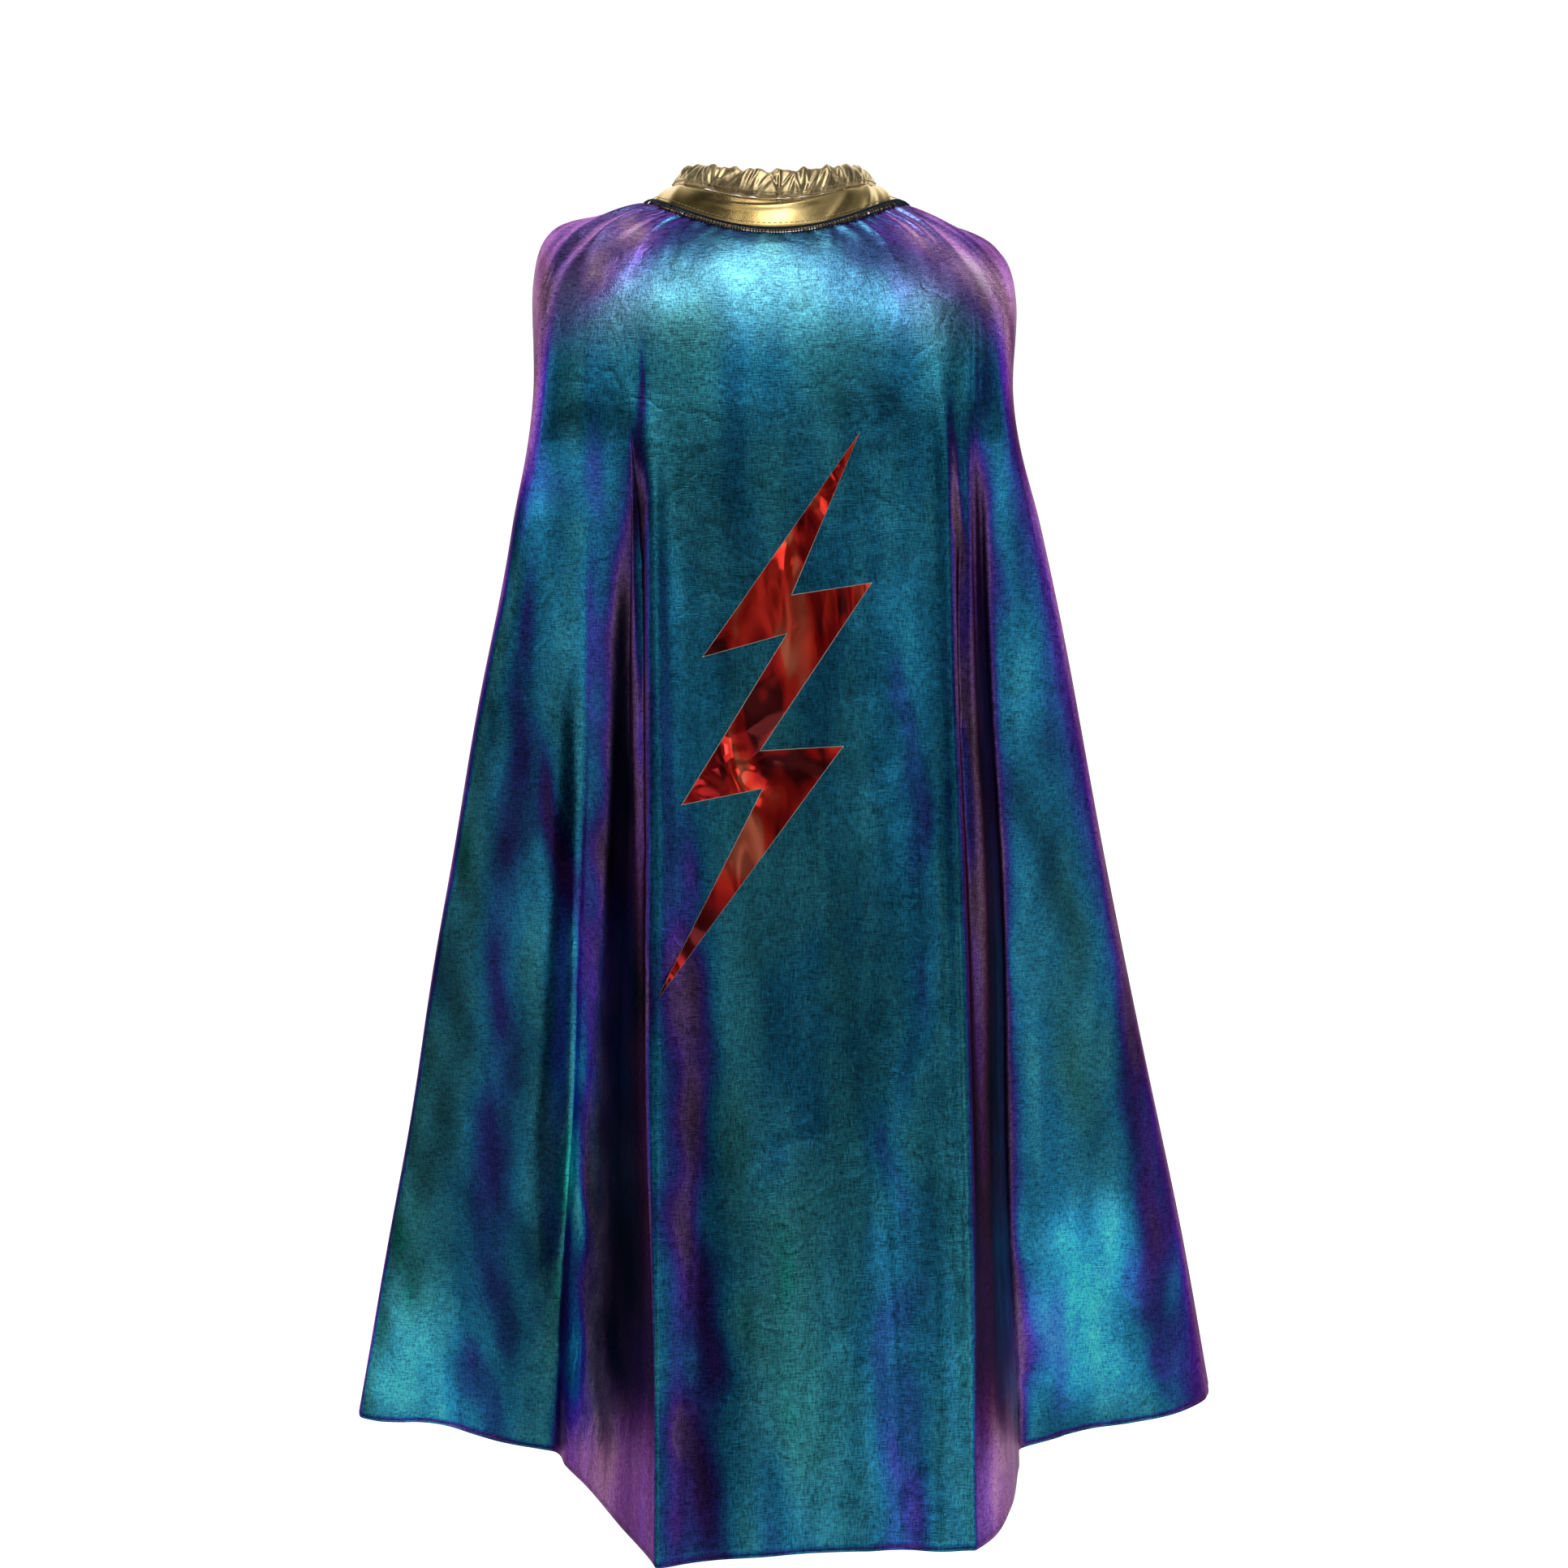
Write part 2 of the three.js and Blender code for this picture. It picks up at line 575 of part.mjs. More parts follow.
const PIECES = [
  ["shell", "shell", clothLayer(CLOTH.shell)],
  ["lining", "lining", clothLayer(CLOTH.lining)],
  ["hem_rolled_edge", "edge", hemRoll()],
  ["left_front_rolled_edge", "edge", frontEdgeRoll(-1)],
  ["right_front_rolled_edge", "edge", frontEdgeRoll(1)],
  ["bolt_bonding_film", "bond", boltLayer(BOND_LAYER)],
  ["lightning_bolt", "bolt", boltLayer(BOLT_LAYER)],
  ["yoke", "gold", flatBand(-END, END, YOKE_HEIGHTS, YOKE_LAYER)],
  ["yoke_facing", "gold", flatBand(-END, END, YOKE_HEIGHTS, FACING_LAYER)],
  ["collar_casing", "oldGold", collarCasing()],
  ["neck_elastic", "elastic", flatBand(-END, END, ELASTIC_HEIGHTS, [-ELASTIC_HALF, ELASTIC_HALF])],
  ["neck_seam_overlock", "darkThread", collarThread(-158, 158, SEAM_HEIGHT, SEAM_OUT, SEAM_THREAD)],
  ["gathering_thread", "darkThread", collarThread(-156, 156, SEAM_HEIGHT, -SEAM_OUT)],
  ["yoke_topstitch", "goldThread", collarThread(-138, 138, 0.2, YOKE_LAYER[1] + STITCH_OFF)],
  ["casing_topstitch", "goldThread", collarThread(-170, 170, 1.22, CASING_OUTER + STITCH_OFF)],
  ["loop_patch", "fastener", flatBand(TAB_FREE_END, END - 3, PATCH_HEIGHTS, LOOP_LAYER, PATCH_STEP)],
  ["hook_patch", "fastener", flatBand(TAB_FREE_END + 2, END - 6, PATCH_HEIGHTS, HOOK_LAYER, PATCH_STEP)],
  ["closure_tab", "gold", closureTab()],
  ["tab_stitching", "goldThread", boxStitch(146, 164, 0.28, 0.72, TAB_LAYER[1] + STITCH_OFF)],
  ["care_label", "label", label()],
  ["label_stitching", "goldThread", labelStitch()],
];

const cape = new THREE.Group();
for (const [name, look, geometry] of PIECES) {
  const mesh = new THREE.Mesh(geometry, new THREE.MeshStandardMaterial(LOOKS[look]));
  mesh.name = name;
  cape.add(mesh);
}

export default cape;
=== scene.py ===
import math

import bmesh
import bpy
import numpy as np
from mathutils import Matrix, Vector
from mathutils.geometry import tessellate_polygon


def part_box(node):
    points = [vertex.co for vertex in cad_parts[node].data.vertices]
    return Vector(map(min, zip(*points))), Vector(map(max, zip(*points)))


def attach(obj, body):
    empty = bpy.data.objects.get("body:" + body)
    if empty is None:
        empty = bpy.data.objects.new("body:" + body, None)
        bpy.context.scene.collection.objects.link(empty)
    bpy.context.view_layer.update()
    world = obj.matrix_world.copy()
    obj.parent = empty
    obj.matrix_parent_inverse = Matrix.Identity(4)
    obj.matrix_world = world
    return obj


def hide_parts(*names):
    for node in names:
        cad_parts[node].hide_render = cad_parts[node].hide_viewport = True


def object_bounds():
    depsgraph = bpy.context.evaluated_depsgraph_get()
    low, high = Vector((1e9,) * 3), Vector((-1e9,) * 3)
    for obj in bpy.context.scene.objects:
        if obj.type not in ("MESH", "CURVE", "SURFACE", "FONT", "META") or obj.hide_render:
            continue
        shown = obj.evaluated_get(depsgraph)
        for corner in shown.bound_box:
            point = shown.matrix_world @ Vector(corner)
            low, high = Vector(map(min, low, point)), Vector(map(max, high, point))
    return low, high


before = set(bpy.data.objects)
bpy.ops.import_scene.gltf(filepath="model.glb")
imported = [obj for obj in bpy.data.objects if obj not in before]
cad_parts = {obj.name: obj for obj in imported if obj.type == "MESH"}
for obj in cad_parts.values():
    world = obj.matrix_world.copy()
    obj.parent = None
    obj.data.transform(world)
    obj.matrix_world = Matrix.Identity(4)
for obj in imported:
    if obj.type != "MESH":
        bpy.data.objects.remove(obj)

cad_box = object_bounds()

# A child's superhero cape seen from the back: iridescent foil knit, gold collar, red bolt.
# Lengths are metres, +Z up, the decorated back faces -Y. Angles round the neck are in
# degrees: 0 is the middle of the back, +90 the wearer's right, 180 the throat.

MM = 0.001

# ---- the collar's and the drape's rings, as in the design ----

NECK_SEAM = dict(rx=70, ry=60, cy=0, back=0, side=22, front=-20)
YOKE_TOP = dict(rx=56.5, ry=52, cy=0, back=18, side=30, front=-4)
CASING_TOP = dict(rx=49, ry=46, cy=0, back=35, side=41, front=14)
COLLAR_END = 172

DRAPE_RINGS = [
    dict(rx=71.5, ry=61.5, cy=0, back=-2, side=20, front=-22, reach=160, down=0),
    dict(rx=97, ry=72, cy=2, back=-11, side=12, front=-27, reach=150, down=28),
    dict(rx=121, ry=83.5, cy=4, back=-27, side=2, front=-40, reach=132, down=56, square=2.3),
    dict(rx=131, ry=92.5, cy=5, back=-54, side=-28, front=-75, reach=122, down=92, square=4),
    dict(rx=129, ry=98, cy=5, back=-90, side=-90, front=-90, reach=115, down=128, square=8),
]
HEM_DOWN = 730
FALL_STEPS = [0.12, 0.4, 0.75, 1]
TUCK_SHARES = [0.15, 0.55, 1, 0]
SHOULDER_LEAN = 0.04

# Fold lines: angle on the shoulder-blade ring, the hem point each falls to, and its tuck.
FOLDS = [
    (-115, (-226, 118, -650), 0),
    (-103, (-229, 112, -652), 0),
    (-90, (-233, 104, -653), 0),
    (-77, (-237, 96, -655), 0),
    (-64, (-240, 86, -657), 0),
    (-54, (-241, 77, -660), 0),
    (-50.5, (-239, 71, -661), 0),
    (-47.5, (-225, 66, -663), 0),
    (-44.5, (-198, 65, -665), 0),
    (-42, (-170, 63, -669), 0),
    (-39.7, (-146, 57, -673), 4),
    (-37.7, (-126, 51, -676), 14),
    (-36, (-117, 20, -678), 30),
    (-34, (-105, -14, -681), 40),
    (-31.2, (-83, -88, -686), 22),
    (-28.6, (-61.5, -159, -690), 0),
    (-27.6, (-59.8, -164, -691), 0),
    (-26.2, (-55, -162.5, -691), 0),
    (-14, (-28, -149, -690), 0),
    (3, (12, -136, -690), 0),
    (20, (56, -130, -690), 0),
    (34.6, (100, -130, -690), 0),
    (36.2, (104.5, -129.5, -690), 0),
    (37.2, (107, -125, -690), 0),
    (38.2, (114, -110, -689), 0),
    (39.4, (127, -55, -685), 0),
    (40.6, (136, 20, -680), 0),
    (42.5, (143, 66, -677), 4),
    (45, (165, 70, -673), 0),
    (48, (202, 77, -666), 0),
    (50.5, (234, 91, -660), 0),
    (53, (250, 104, -657), 0),
    (57, (255, 114, -655), 0),
    (67, (256, 121, -655), 0),
    (79, (257, 128, -654), 0),
    (92, (258, 136, -653), 0),
    (104, (257, 144, -652), 0),
    (115, (256, 150, -651), 0),
]

BOLT = [
    (44.5, -113), (8.5, -198.5), (50.5, -192), (-8, -280), (35.5, -277.5),
    (-61, -409), (-5.5, -299), (-47.5, -307.5), (7, -218), (-37, -230.5),
]


def ring_point(ring, angle):
    turn = np.radians(angle)
    ends = (ring["back"] + ring["front"]) / 2
    height = (
        (ends + ring["side"]) / 2
        + (ring["back"] - ring["front"]) / 2 * np.cos(turn)
        + (ends - ring["side"]) / 2 * np.cos(2 * turn)
    )
    power = ring.get("square", 2)
    swollen = (np.abs(np.sin(turn)) ** power + np.abs(np.cos(turn)) ** power) ** (-1 / power)
    across = ring["rx"] * np.sin(turn) * swollen
    depth = ring["cy"] - ring["ry"] * np.cos(turn) * swollen
    return np.stack([across, depth, height], axis=-1)


def curve_through(places, points, at):
    """A smooth curve through points[k] at places[k], sampled at the places in at."""
    places = np.asarray(places, float)
    at = np.asarray(at, float)
    shape = (-1,) + (1,) * (points.ndim - 1)
    gaps = np.diff(places).reshape(shape)
    slopes = np.diff(points, axis=0) / gaps
    inner = (slopes[:-1] * gaps[1:] + slopes[1:] * gaps[:-1]) / (gaps[:-1] + gaps[1:])
    tangents = np.concatenate([slopes[:1], inner, slopes[-1:]])
    i = np.clip(np.searchsorted(places, at, side="right") - 1, 0, len(places) - 2)
    span = (places[i + 1] - places[i]).reshape(shape)
    w = ((at - places[i]) / (places[i + 1] - places[i])).reshape(shape)
    return (
        points[i] * (1 + 2 * w) * (1 - w) ** 2
        + tangents[i] * span * w * (1 - w) ** 2
        + points[i + 1] * w * w * (3 - 2 * w)
        + tangents[i + 1] * span * w * w * (w - 1)
    )


def fold_lines():
    blade = DRAPE_RINGS[-1]
    lines = []
    for angle, hem, tuck in FOLDS:
        over = []
        for ring in DRAPE_RINGS:
            point = ring_point(ring, angle * ring["reach"] / blade["reach"])
            point[2] -= SHOULDER_LEAN * point[0] * math.sin(ring["down"] / blade["down"] * math.pi)
            over.append(point)
        start = over[-1]
        fall = []
        for share, tucked in zip(FALL_STEPS, TUCK_SHARES):
            point = start + (np.array(hem, float) - start) * share
            point[1] += tuck * tucked
            fall.append(point)
        lines.append(over + fall)
    return np.array(lines)


FOLD_LINES = fold_lines()
BLADE_DOWN = DRAPE_RINGS[-1]["down"]
PLACES_DOWN = [ring["down"] for ring in DRAPE_RINGS] + [
    BLADE_DOWN + share * (HEM_DOWN - BLADE_DOWN) for share in FALL_STEPS
]
BLADE_ROW = len(DRAPE_RINGS) - 1
HEM_GAPS = np.linalg.norm(np.diff(FOLD_LINES[:, -1], axis=0), axis=1)
BLADE_GAPS = np.linalg.norm(np.diff(FOLD_LINES[:, BLADE_ROW], axis=0), axis=1)
PLACES_ACROSS = np.concatenate([[0], np.cumsum((HEM_GAPS + BLADE_GAPS) / 2)])
FOLD_ANGLES = np.array([fold[0] for fold in FOLDS], float)
NECK_REACH, BLADE_REACH = DRAPE_RINGS[0]["reach"], DRAPE_RINGS[-1]["reach"]


def drape(across, down):
    """The middle of the cloth, in millimetres, as rows down by columns across."""
    rows = curve_through(PLACES_DOWN, FOLD_LINES.transpose(1, 0, 2), down)
    grid = curve_through(PLACES_ACROSS, rows.transpose(1, 0, 2), across)
    return grid.transpose(1, 0, 2)


def outward(grid):
    across = np.gradient(grid, axis=1)
    down = np.gradient(grid, axis=0)
    normal = -np.cross(across, down)
    return normal / np.maximum(np.linalg.norm(normal, axis=2, keepdims=True), 1e-9)


def bump(distance, width):
    return np.exp(-((distance / width) ** 2))


def smooth(low, high, value):
    share = np.clip((value - low) / (high - low), 0, 1)
    return share * share * (3 - 2 * share)


# ---- wrinkles and gathers ----

SEWN_TO = 158  # degrees from the back's middle to each end of the shell's neck edge
GATHER_SPACING = 4.2  # degrees


def gathers(angle, down):
    """Short folds that fan out from the neck seam, as heights in millimetres."""
    height = np.zeros(np.broadcast(angle, down).shape)
    pick = np.random.default_rng(7)
    for start in np.arange(-SEWN_TO, SEWN_TO + 1, GATHER_SPACING):
        place = start + pick.uniform(-1.6, 1.6)
        off_back = smooth(20, 70, abs(place))
        strength = 0.6 + 1.5 * off_back
        length = pick.uniform(10, 30) * (0.6 + 1.2 * off_back)
        width = pick.uniform(1.0, 2.0)
        drift = pick.uniform(-0.10, 0.10)
        rise = strength * pick.uniform(0.4, 1.3)
        spread = width * (1 + down / 45)
        fade = (1 - np.exp(-(down + 0.4) / 3.0)) * np.exp(-((down / length) ** 1.4) / 2)
        height += rise * fade * bump(angle - place - drift * down, spread)
    return height


# Long soft folds on the outside: height, across, half width and how far it stands out.
LONG_FOLDS = [
    [
        (-95, -66, 7, 0), (-150, -63, 5, 3.5), (-320, -61, 6, 4.0), (-520, -60, 7, 1.5),
        (-690, -58, 8, 0),
    ],
    [
        (-110, -76, 9, 0), (-180, -77, 8, -7), (-330, -80, 12, -9), (-500, -82, 14, -3),
        (-600, -82, 14, 0),
    ],
    [
        (-60, 86, 8, 0), (-130, 90, 4, 3.0), (-300, 94, 4, 4.0), (-480, 98, 5, 3.5),
        (-690, 103, 6, 0),
    ],
    [
        (-110, 98, 6, 0), (-200, 101, 5, -5), (-360, 107, 6, -7), (-520, 112, 7, -3),
        (-600, 114, 8, 0),
    ],
    [(-230, 66, 9, 0), (-310, 74, 8, 2.6), (-380, 78, 8, 2.6), (-470, 66, 10, 0)],
    [(-430, -36, 8, 0), (-520, -39, 9, -3.4), (-620, -42, 10, -4.0), (-690, -44, 11, -4.0)],
    [(-430, -14, 12, 0), (-540, -12, 14, 3.0), (-690, -8, 16, 4.0)],
    [(-430, 58, 10, 0), (-540, 62, 9, -2.6), (-690, 66, 11, -3.6)],
    [(-470, 84, 8, 0), (-580, 86, 9, 2.4), (-690, 86, 10, 3.0)],
    [(-180, -118, 14, 0), (-300, -125, 16, 4), (-480, -140, 20, 5), (-660, -160, 26, 3)],
    [(-330, -150, 12, 0), (-480, -172, 16, -4), (-660, -196, 22, -5)],
    [(-350, 150, 14, 0), (-500, 165, 18, -4), (-660, 182, 24, -5)],
    [(-300, 172, 12, 0), (-450, 200, 16, 3), (-655, 232, 20, 4)],
]


def long_folds(x, z):
    height = np.zeros(x.shape)
    for fold in LONG_FOLDS:
        z_at, x_at, half, rise = np.array(fold, float)[::-1].T
        middle = np.interp(z, z_at, x_at)
        width = np.interp(z, z_at, half)
        height += np.interp(z, z_at, rise) * bump(x - middle, width)
    return height


def crease(value, place, width, rise):
    return rise * np.exp(-np.abs(value - place) / width)


# Small wrinkles: how many, the seed, from where to where across and in height, and the rise.
WRINKLED_PARTS = [
    (150, 11, (-230, 240), (-680, -70), 0.3),
    (16, 23, (10, 90), (-345, -200), 0.6),
    (24, 29, (10, 95), (-680, -480), 0.55),
    (22, 31, (-230, -120), (-670, -560), 0.6),
    (22, 37, (130, 230), (-660, -560), 0.6),
]


def small_wrinkles(x, z, count, seed, across, heights, rise):
    """Short slanting creases scattered over part of the back."""
    pick = np.random.default_rng(seed)
    height = np.zeros(x.shape)
    for _ in range(count):
        cx, cz = pick.uniform(*across), pick.uniform(*heights)
        tilt = pick.normal(0, 0.5) + (math.pi / 2 if pick.random() < 0.6 else 0)
        long, wide = pick.uniform(14, 60), pick.uniform(2.2, 6.0)
        along = (x - cx) * math.cos(tilt) + (z - cz) * math.sin(tilt)
        aside = -(x - cx) * math.sin(tilt) + (z - cz) * math.cos(tilt)
        bowed = aside + along**2 / 400
        height += pick.uniform(-rise, rise) * bump(along, long) * bump(bowed, wide)
    return height


def swell(x, z, count=10, shortest=30, longest=160, rise=0.6):
    """Slow unevenness of hanging cloth: a sum of long waves."""
    pick = np.random.default_rng(5)
    height = np.zeros(x.shape)
    for _ in range(count):
        length = pick.uniform(shortest, longest)
        heading = pick.normal(0, 0.45)
        phase = pick.uniform(0, 2 * math.pi)
        wave = (x * math.cos(heading) + z * math.sin(heading) * 0.6) * 2 * math.pi / length
        height += rise * (length / longest) * np.sin(wave + phase)
    return height


PACKING_FOLDS = (-117, -590)  # heights of the creases left from folding the cape flat
PRESSED_LINE = 28  # a light upright crease right of the back's middle


def wrinkle_height(grid, across, down):
    """How far the cloth stands off the smooth drape, in millimetres."""
    x, z = grid[..., 0], grid[..., 2]
    facing = smooth(0.15, 0.6, -outward(grid)[..., 1])
    angle = np.interp(across, PLACES_ACROSS, FOLD_ANGLES) * NECK_REACH / BLADE_REACH
    below = down[:, None]
    height = gathers(angle[None, :], below)
    height += long_folds(x, z) * facing
    for part in WRINKLED_PARTS:
        height += small_wrinkles(x, z, *part) * facing
    height += swell(x, z) * smooth(40, 140, below)
    wander = 1.5 * np.sin(x / 17 + 1) + 0.9 * np.sin(x / 6.3)
    uneven = 0.6 + 0.4 * np.sin(x / 23 + 2) * np.sin(x / 9)
    upper, lower = PACKING_FOLDS
    folded = crease(z, upper + wander, 1.8, 0.3) + crease(z, lower + wander, 2.4, -0.25)
    height += folded * uneven * facing
    pressed = crease(x, PRESSED_LINE + 0.03 * (z + 50), 1.3, 0.2)
    height += pressed * smooth(-70, -30, z) * facing
    return height


# Streaks painted into the foil: each turns the colour and paints light into it, as painted shade
# and painted dark reflections of the room where the light left is under 1, and as painted
# highlights where it is over 1. Columns: how far the colour turns towards violet (or, above 0,
# towards green), how much light is left, and the streak's height, across and half width down the
# cape.
PAINTED_LIGHT_STREAKS = [
    (-0.26, 0.42, [
        (-200, -132, 6), (-265, -137, 9), (-313, -146, 11), (-382, -154, 9), (-430, -156, 6),
    ]),
    (-0.20, 0.45, [
        (-425, -146, 12), (-521, -152, 22), (-590, -154, 26), (-646, -156, 26),
        (-668, -158, 18),
    ]),
    (0.16, 0.50, [
        (-330, -166, 8), (-400, -172, 10), (-480, -190, 14), (-560, -205, 12), (-600, -212, 9),
    ]),
    (0.16, 0.80, [(-380, -134, 7), (-463, -130, 9), (-570, -124, 11), (-640, -124, 8)]),
    (-0.42, 0.34, [
        (-290, -124, 4), (-360, -115, 8), (-430, -110, 8), (-544, -103, 7), (-665, -94, 6),
    ]),
    (-0.50, 0.12, [
        (-84, -69, 1.5), (-161, -75, 7), (-269, -82, 12), (-398, -82, 14), (-527, -82, 15),
        (-612, -82, 12),
    ]),
    (-0.22, 0.95, [(-80, -94, 5), (-150, -96, 7), (-215, -97, 7), (-260, -98, 4)]),
    (-0.44, 0.20, [(-390, -42, 8), (-519, -40, 11), (-602, -38, 13), (-690, -36, 13)]),
    (-0.26, 1.05, [(-330, -44, 6), (-400, -48, 8), (-460, -47, 6)]),
    (-0.16, 0.78, [(-380, 18, 16), (-430, 14, 26), (-490, -2, 14)]),
    (0.16, 0.95, [(-520, 4, 14), (-570, 6, 20), (-640, 8, 14)]),
    (-0.24, 1.05, [(-480, 58, 8), (-560, 62, 13), (-690, 66, 13)]),
    (-0.20, 0.80, [(-250, 66, 5), (-310, 76, 7), (-380, 79, 7), (-450, 68, 6)]),
    (-0.55, 0.30, [
        (-110, 93, 2), (-190, 98, 4), (-269, 104, 6), (-400, 112, 8), (-560, 120, 9),
        (-640, 124, 8),
    ]),
    (-0.26, 0.60, [(-90, 106, 6), (-180, 112, 9), (-240, 118, 9), (-330, 120, 8)]),
    (-0.38, 0.34, [(-340, 122, 6), (-498, 129, 9), (-614, 137, 9), (-660, 141, 5)]),
    (0.16, 0.80, [(-320, 156, 9), (-400, 166, 13), (-470, 172, 12)]),
    (-0.36, 0.36, [(-300, 184, 5), (-420, 198, 7), (-540, 212, 10), (-640, 226, 10)]),
    (-0.34, 2.8, [(0, -82, 20), (-26, -98, 20), (-44, -106, 13)]),
    (-0.38, 2.8, [(2, 80, 20), (-26, 98, 20), (-44, 108, 13)]),
    (-0.45, 0.22, [(-16, -124, 6), (-40, -127, 6), (-84, -131, 5)]),
    (-0.45, 0.24, [(-12, 120, 6), (-40, 125, 6), (-80, 130, 5)]),
    (0.30, 1.25, [(8, -8, 36), (-14, -8, 42)]),
    (0.10, 1.15, [(-30, -10, 34), (-52, -6, 42)]),
    (0.0, 0.30, [(-84, 50, 34), (-104, 48, 40)]),
    (0.02, 1.7, [(-70, -116, 6), (-150, -128, 7), (-230, -140, 7), (-300, -152, 5)]),
    (0.0, 1.7, [
        (-140, -56, 4), (-215, -53, 5), (-260, -51, 7), (-330, -51, 6), (-380, -51, 5),
    ]),
    (0.0, 0.62, [(-120, -20, 26), (-200, -24, 24), (-250, -26, 16)]),
    (0.04, 0.62, [(-340, 98, 4), (-500, 103, 4), (-640, 106, 4)]),
    (0.0, 2.0, [(-205, 66, 12), (-260, 66, 14), (-330, 62, 12)]),
    (0.0, 4.0, [(-600, -200, 26), (-655, -208, 40)]),
    (-0.04, 3.6, [(-550, 176, 28), (-640, 186, 44)]),
    (0.50, 3.0, [(-380, -112, 6), (-520, -111, 9), (-640, -110, 9)]),
    (0.30, 0.45, [(-60, -133, 4), (-177, -140, 5), (-498, -208, 6), (-650, -236, 7)]),
    (0.0, 0.42, [(-250, -148, 16), (-340, -150, 18)]),
    (0.0, 0.36, [(-270, 142, 14), (-320, 146, 18), (-360, 150, 14)]),
    (0.02, 0.95, [(-400, 10, 70), (-600, 10, 70), (-700, 10, 70)]),
    (-0.10, 1.6, [(-640, 62, 10), (-680, 66, 12)]),
    (-0.05, 0.50, [(-380, -178, 22), (-470, -186, 26), (-560, -180, 20)]),
    (0.0, 0.66, [(-360, 168, 24), (-450, 172, 28), (-500, 176, 26)]),
    (0.0, 0.60, [(-240, -112, 16), (-330, -118, 16)]),
    (-0.06, 2.6, [(-640, 117, 7), (-680, 120, 8)]),
]


def painted_turn_and_light(x, z):
    """How far each point's foil is turned, and the share of painted light it has left."""
    turned, light = np.zeros(x.shape), np.ones(x.shape)
    for k, (turn, left, places) in enumerate(PAINTED_LIGHT_STREAKS):
        z_at, x_at, half = np.array(places, float)[::-1].T
        ends = smooth(z_at[0] - 34, z_at[0] + 14, z)
        ends = ends * (1 - smooth(z_at[-1] - 14, z_at[-1] + 34, z))
        width = np.interp(z, z_at, half)
        stray = width * (0.30 * np.sin(z / 21 + k) + 0.16 * np.sin(z / 8.3 + 2 * k))
        share = ends * bump(x + stray - np.interp(z, z_at, x_at), width)
        share *= 0.82 + 0.18 * np.sin(z / 13 + x / 5 + 3 * k)
        turned += turn * share
        light *= 1 + (left - 1) * share
    return turned, light


PLEATS_MIDDLE = 20  # millimetres right of the back's middle, halfway between the pleats
PLEAT_DARKNESS = 0.88


def pleat_shade(x, z, facing):
    """The share of light left on the walls of the two deep pleats, which face the wings."""
    wall = 1 - smooth(0.35, 0.80, facing)
    between = 1 - smooth(106, 120, np.abs(x - PLEATS_MIDDLE))
    inside = between * (1 - smooth(-110, -60, z)) * smooth(-668, -600, z)
    return 1 - PLEAT_DARKNESS * wall * inside


# ---- meshes ----


def new_object(name, points, faces, material):
    mesh = bpy.data.meshes.new(name)
    mesh.from_pydata([tuple(p) for p in np.asarray(points, float).tolist()], [], faces)
    mesh.update()
    piece = bpy.data.objects.new(name, mesh)
    bpy.context.scene.collection.objects.link(piece)
    piece.data.materials.append(material)
    mesh.polygons.foreach_set("use_smooth", [True] * len(mesh.polygons))
    return piece


def claim(piece, node, body="cape"):
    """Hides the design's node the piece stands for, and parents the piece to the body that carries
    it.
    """
    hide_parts(node)
    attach(piece, body)


def plate_faces(rows, columns):
    """Faces of a plate between two grids of rows by columns, the outer grid first."""
    r, c = np.meshgrid(np.arange(rows - 1), np.arange(columns - 1), indexing="ij")
    a = (r * columns + c).ravel()
    top = np.stack([a, a + columns, a + columns + 1, a + 1], axis=1)
    low = rows * columns
    bottom = top[:, ::-1] + low
    faces = top.tolist() + bottom.tolist()
    for k in range(columns - 1):
        faces.append([k, k + 1, k + 1 + low, k + low])
        m = (rows - 1) * columns + k
        faces.append([m + 1, m, m + low, m + 1 + low])
    for k in range(rows - 1):
        m = k * columns
        faces.append([m + columns, m, m + low, m + columns + low])
        n = m + columns - 1
        faces.append([n, n + columns, n + columns + low, n + low])
    return faces


def plate(name, outer, inner, material):
    """A closed plate between two grids of points in millimetres."""
    rows, columns = outer.shape[:2]
    points = np.concatenate([outer.reshape(-1, 3), inner.reshape(-1, 3)]) * MM
    return new_object(name, points, plate_faces(rows, columns), material)


def tube_parts(points, radius, sides):
    """Vertices and faces of a round tube along points."""
    points = np.asarray(points, float)
    ahead = np.concatenate([points[1:], points[-1:]])
    back = np.concatenate([points[:1], points[:-1]])
    along = ahead - back
    along /= np.linalg.norm(along, axis=1, keepdims=True)
    up = np.where(np.abs(along[:, 2:3]) > 0.8, [[0.0, 1.0, 0.0]], [[0.0, 0.0, 1.0]])
    side = np.cross(along, up)
    side /= np.linalg.norm(side, axis=1, keepdims=True)
    over = np.cross(side, along)
    turn = np.arange(sides) * 2 * math.pi / sides
    loops = points[:, None] + radius * (
        np.cos(turn)[None, :, None] * side[:, None] + np.sin(turn)[None, :, None] * over[:, None]
    )
    faces = []
    count = len(points)
    for start in range(0, (count - 1) * sides, sides):
        for k in range(sides):
            m = (k + 1) % sides
            faces.append([start + k, start + m, start + sides + m, start + sides + k])
    faces.append(list(range(sides))[::-1])
    faces.append([(count - 1) * sides + k for k in range(sides)])
    return loops.reshape(-1, 3), faces


def tubes(name, runs, radius, sides, material):
    """Several tubes as one piece. Points are in millimetres."""
    points, faces, shift = [], [], 0
    for run in runs:
        vertices, quads = tube_parts(run, radius, sides)
        points.append(vertices)
        faces += [[i + shift for i in face] for face in quads]
        shift += len(vertices)
    piece = new_object(name, np.concatenate(points) * MM, faces, material)
    fix_normals(piece)
    return piece


def fix_normals(piece, crisp=math.pi):
    """Turns all faces outwards, and shades edges sharper than the crisp angle as edges."""
    bm = bmesh.new()
    bm.from_mesh(piece.data)
    bmesh.ops.recalc_face_normals(bm, faces=bm.faces)
    for edge in bm.edges:
        if edge.calc_face_angle(0) > crisp:
            edge.smooth = False
    bm.to_mesh(piece.data)
    bm.free()


# ---- materials ----


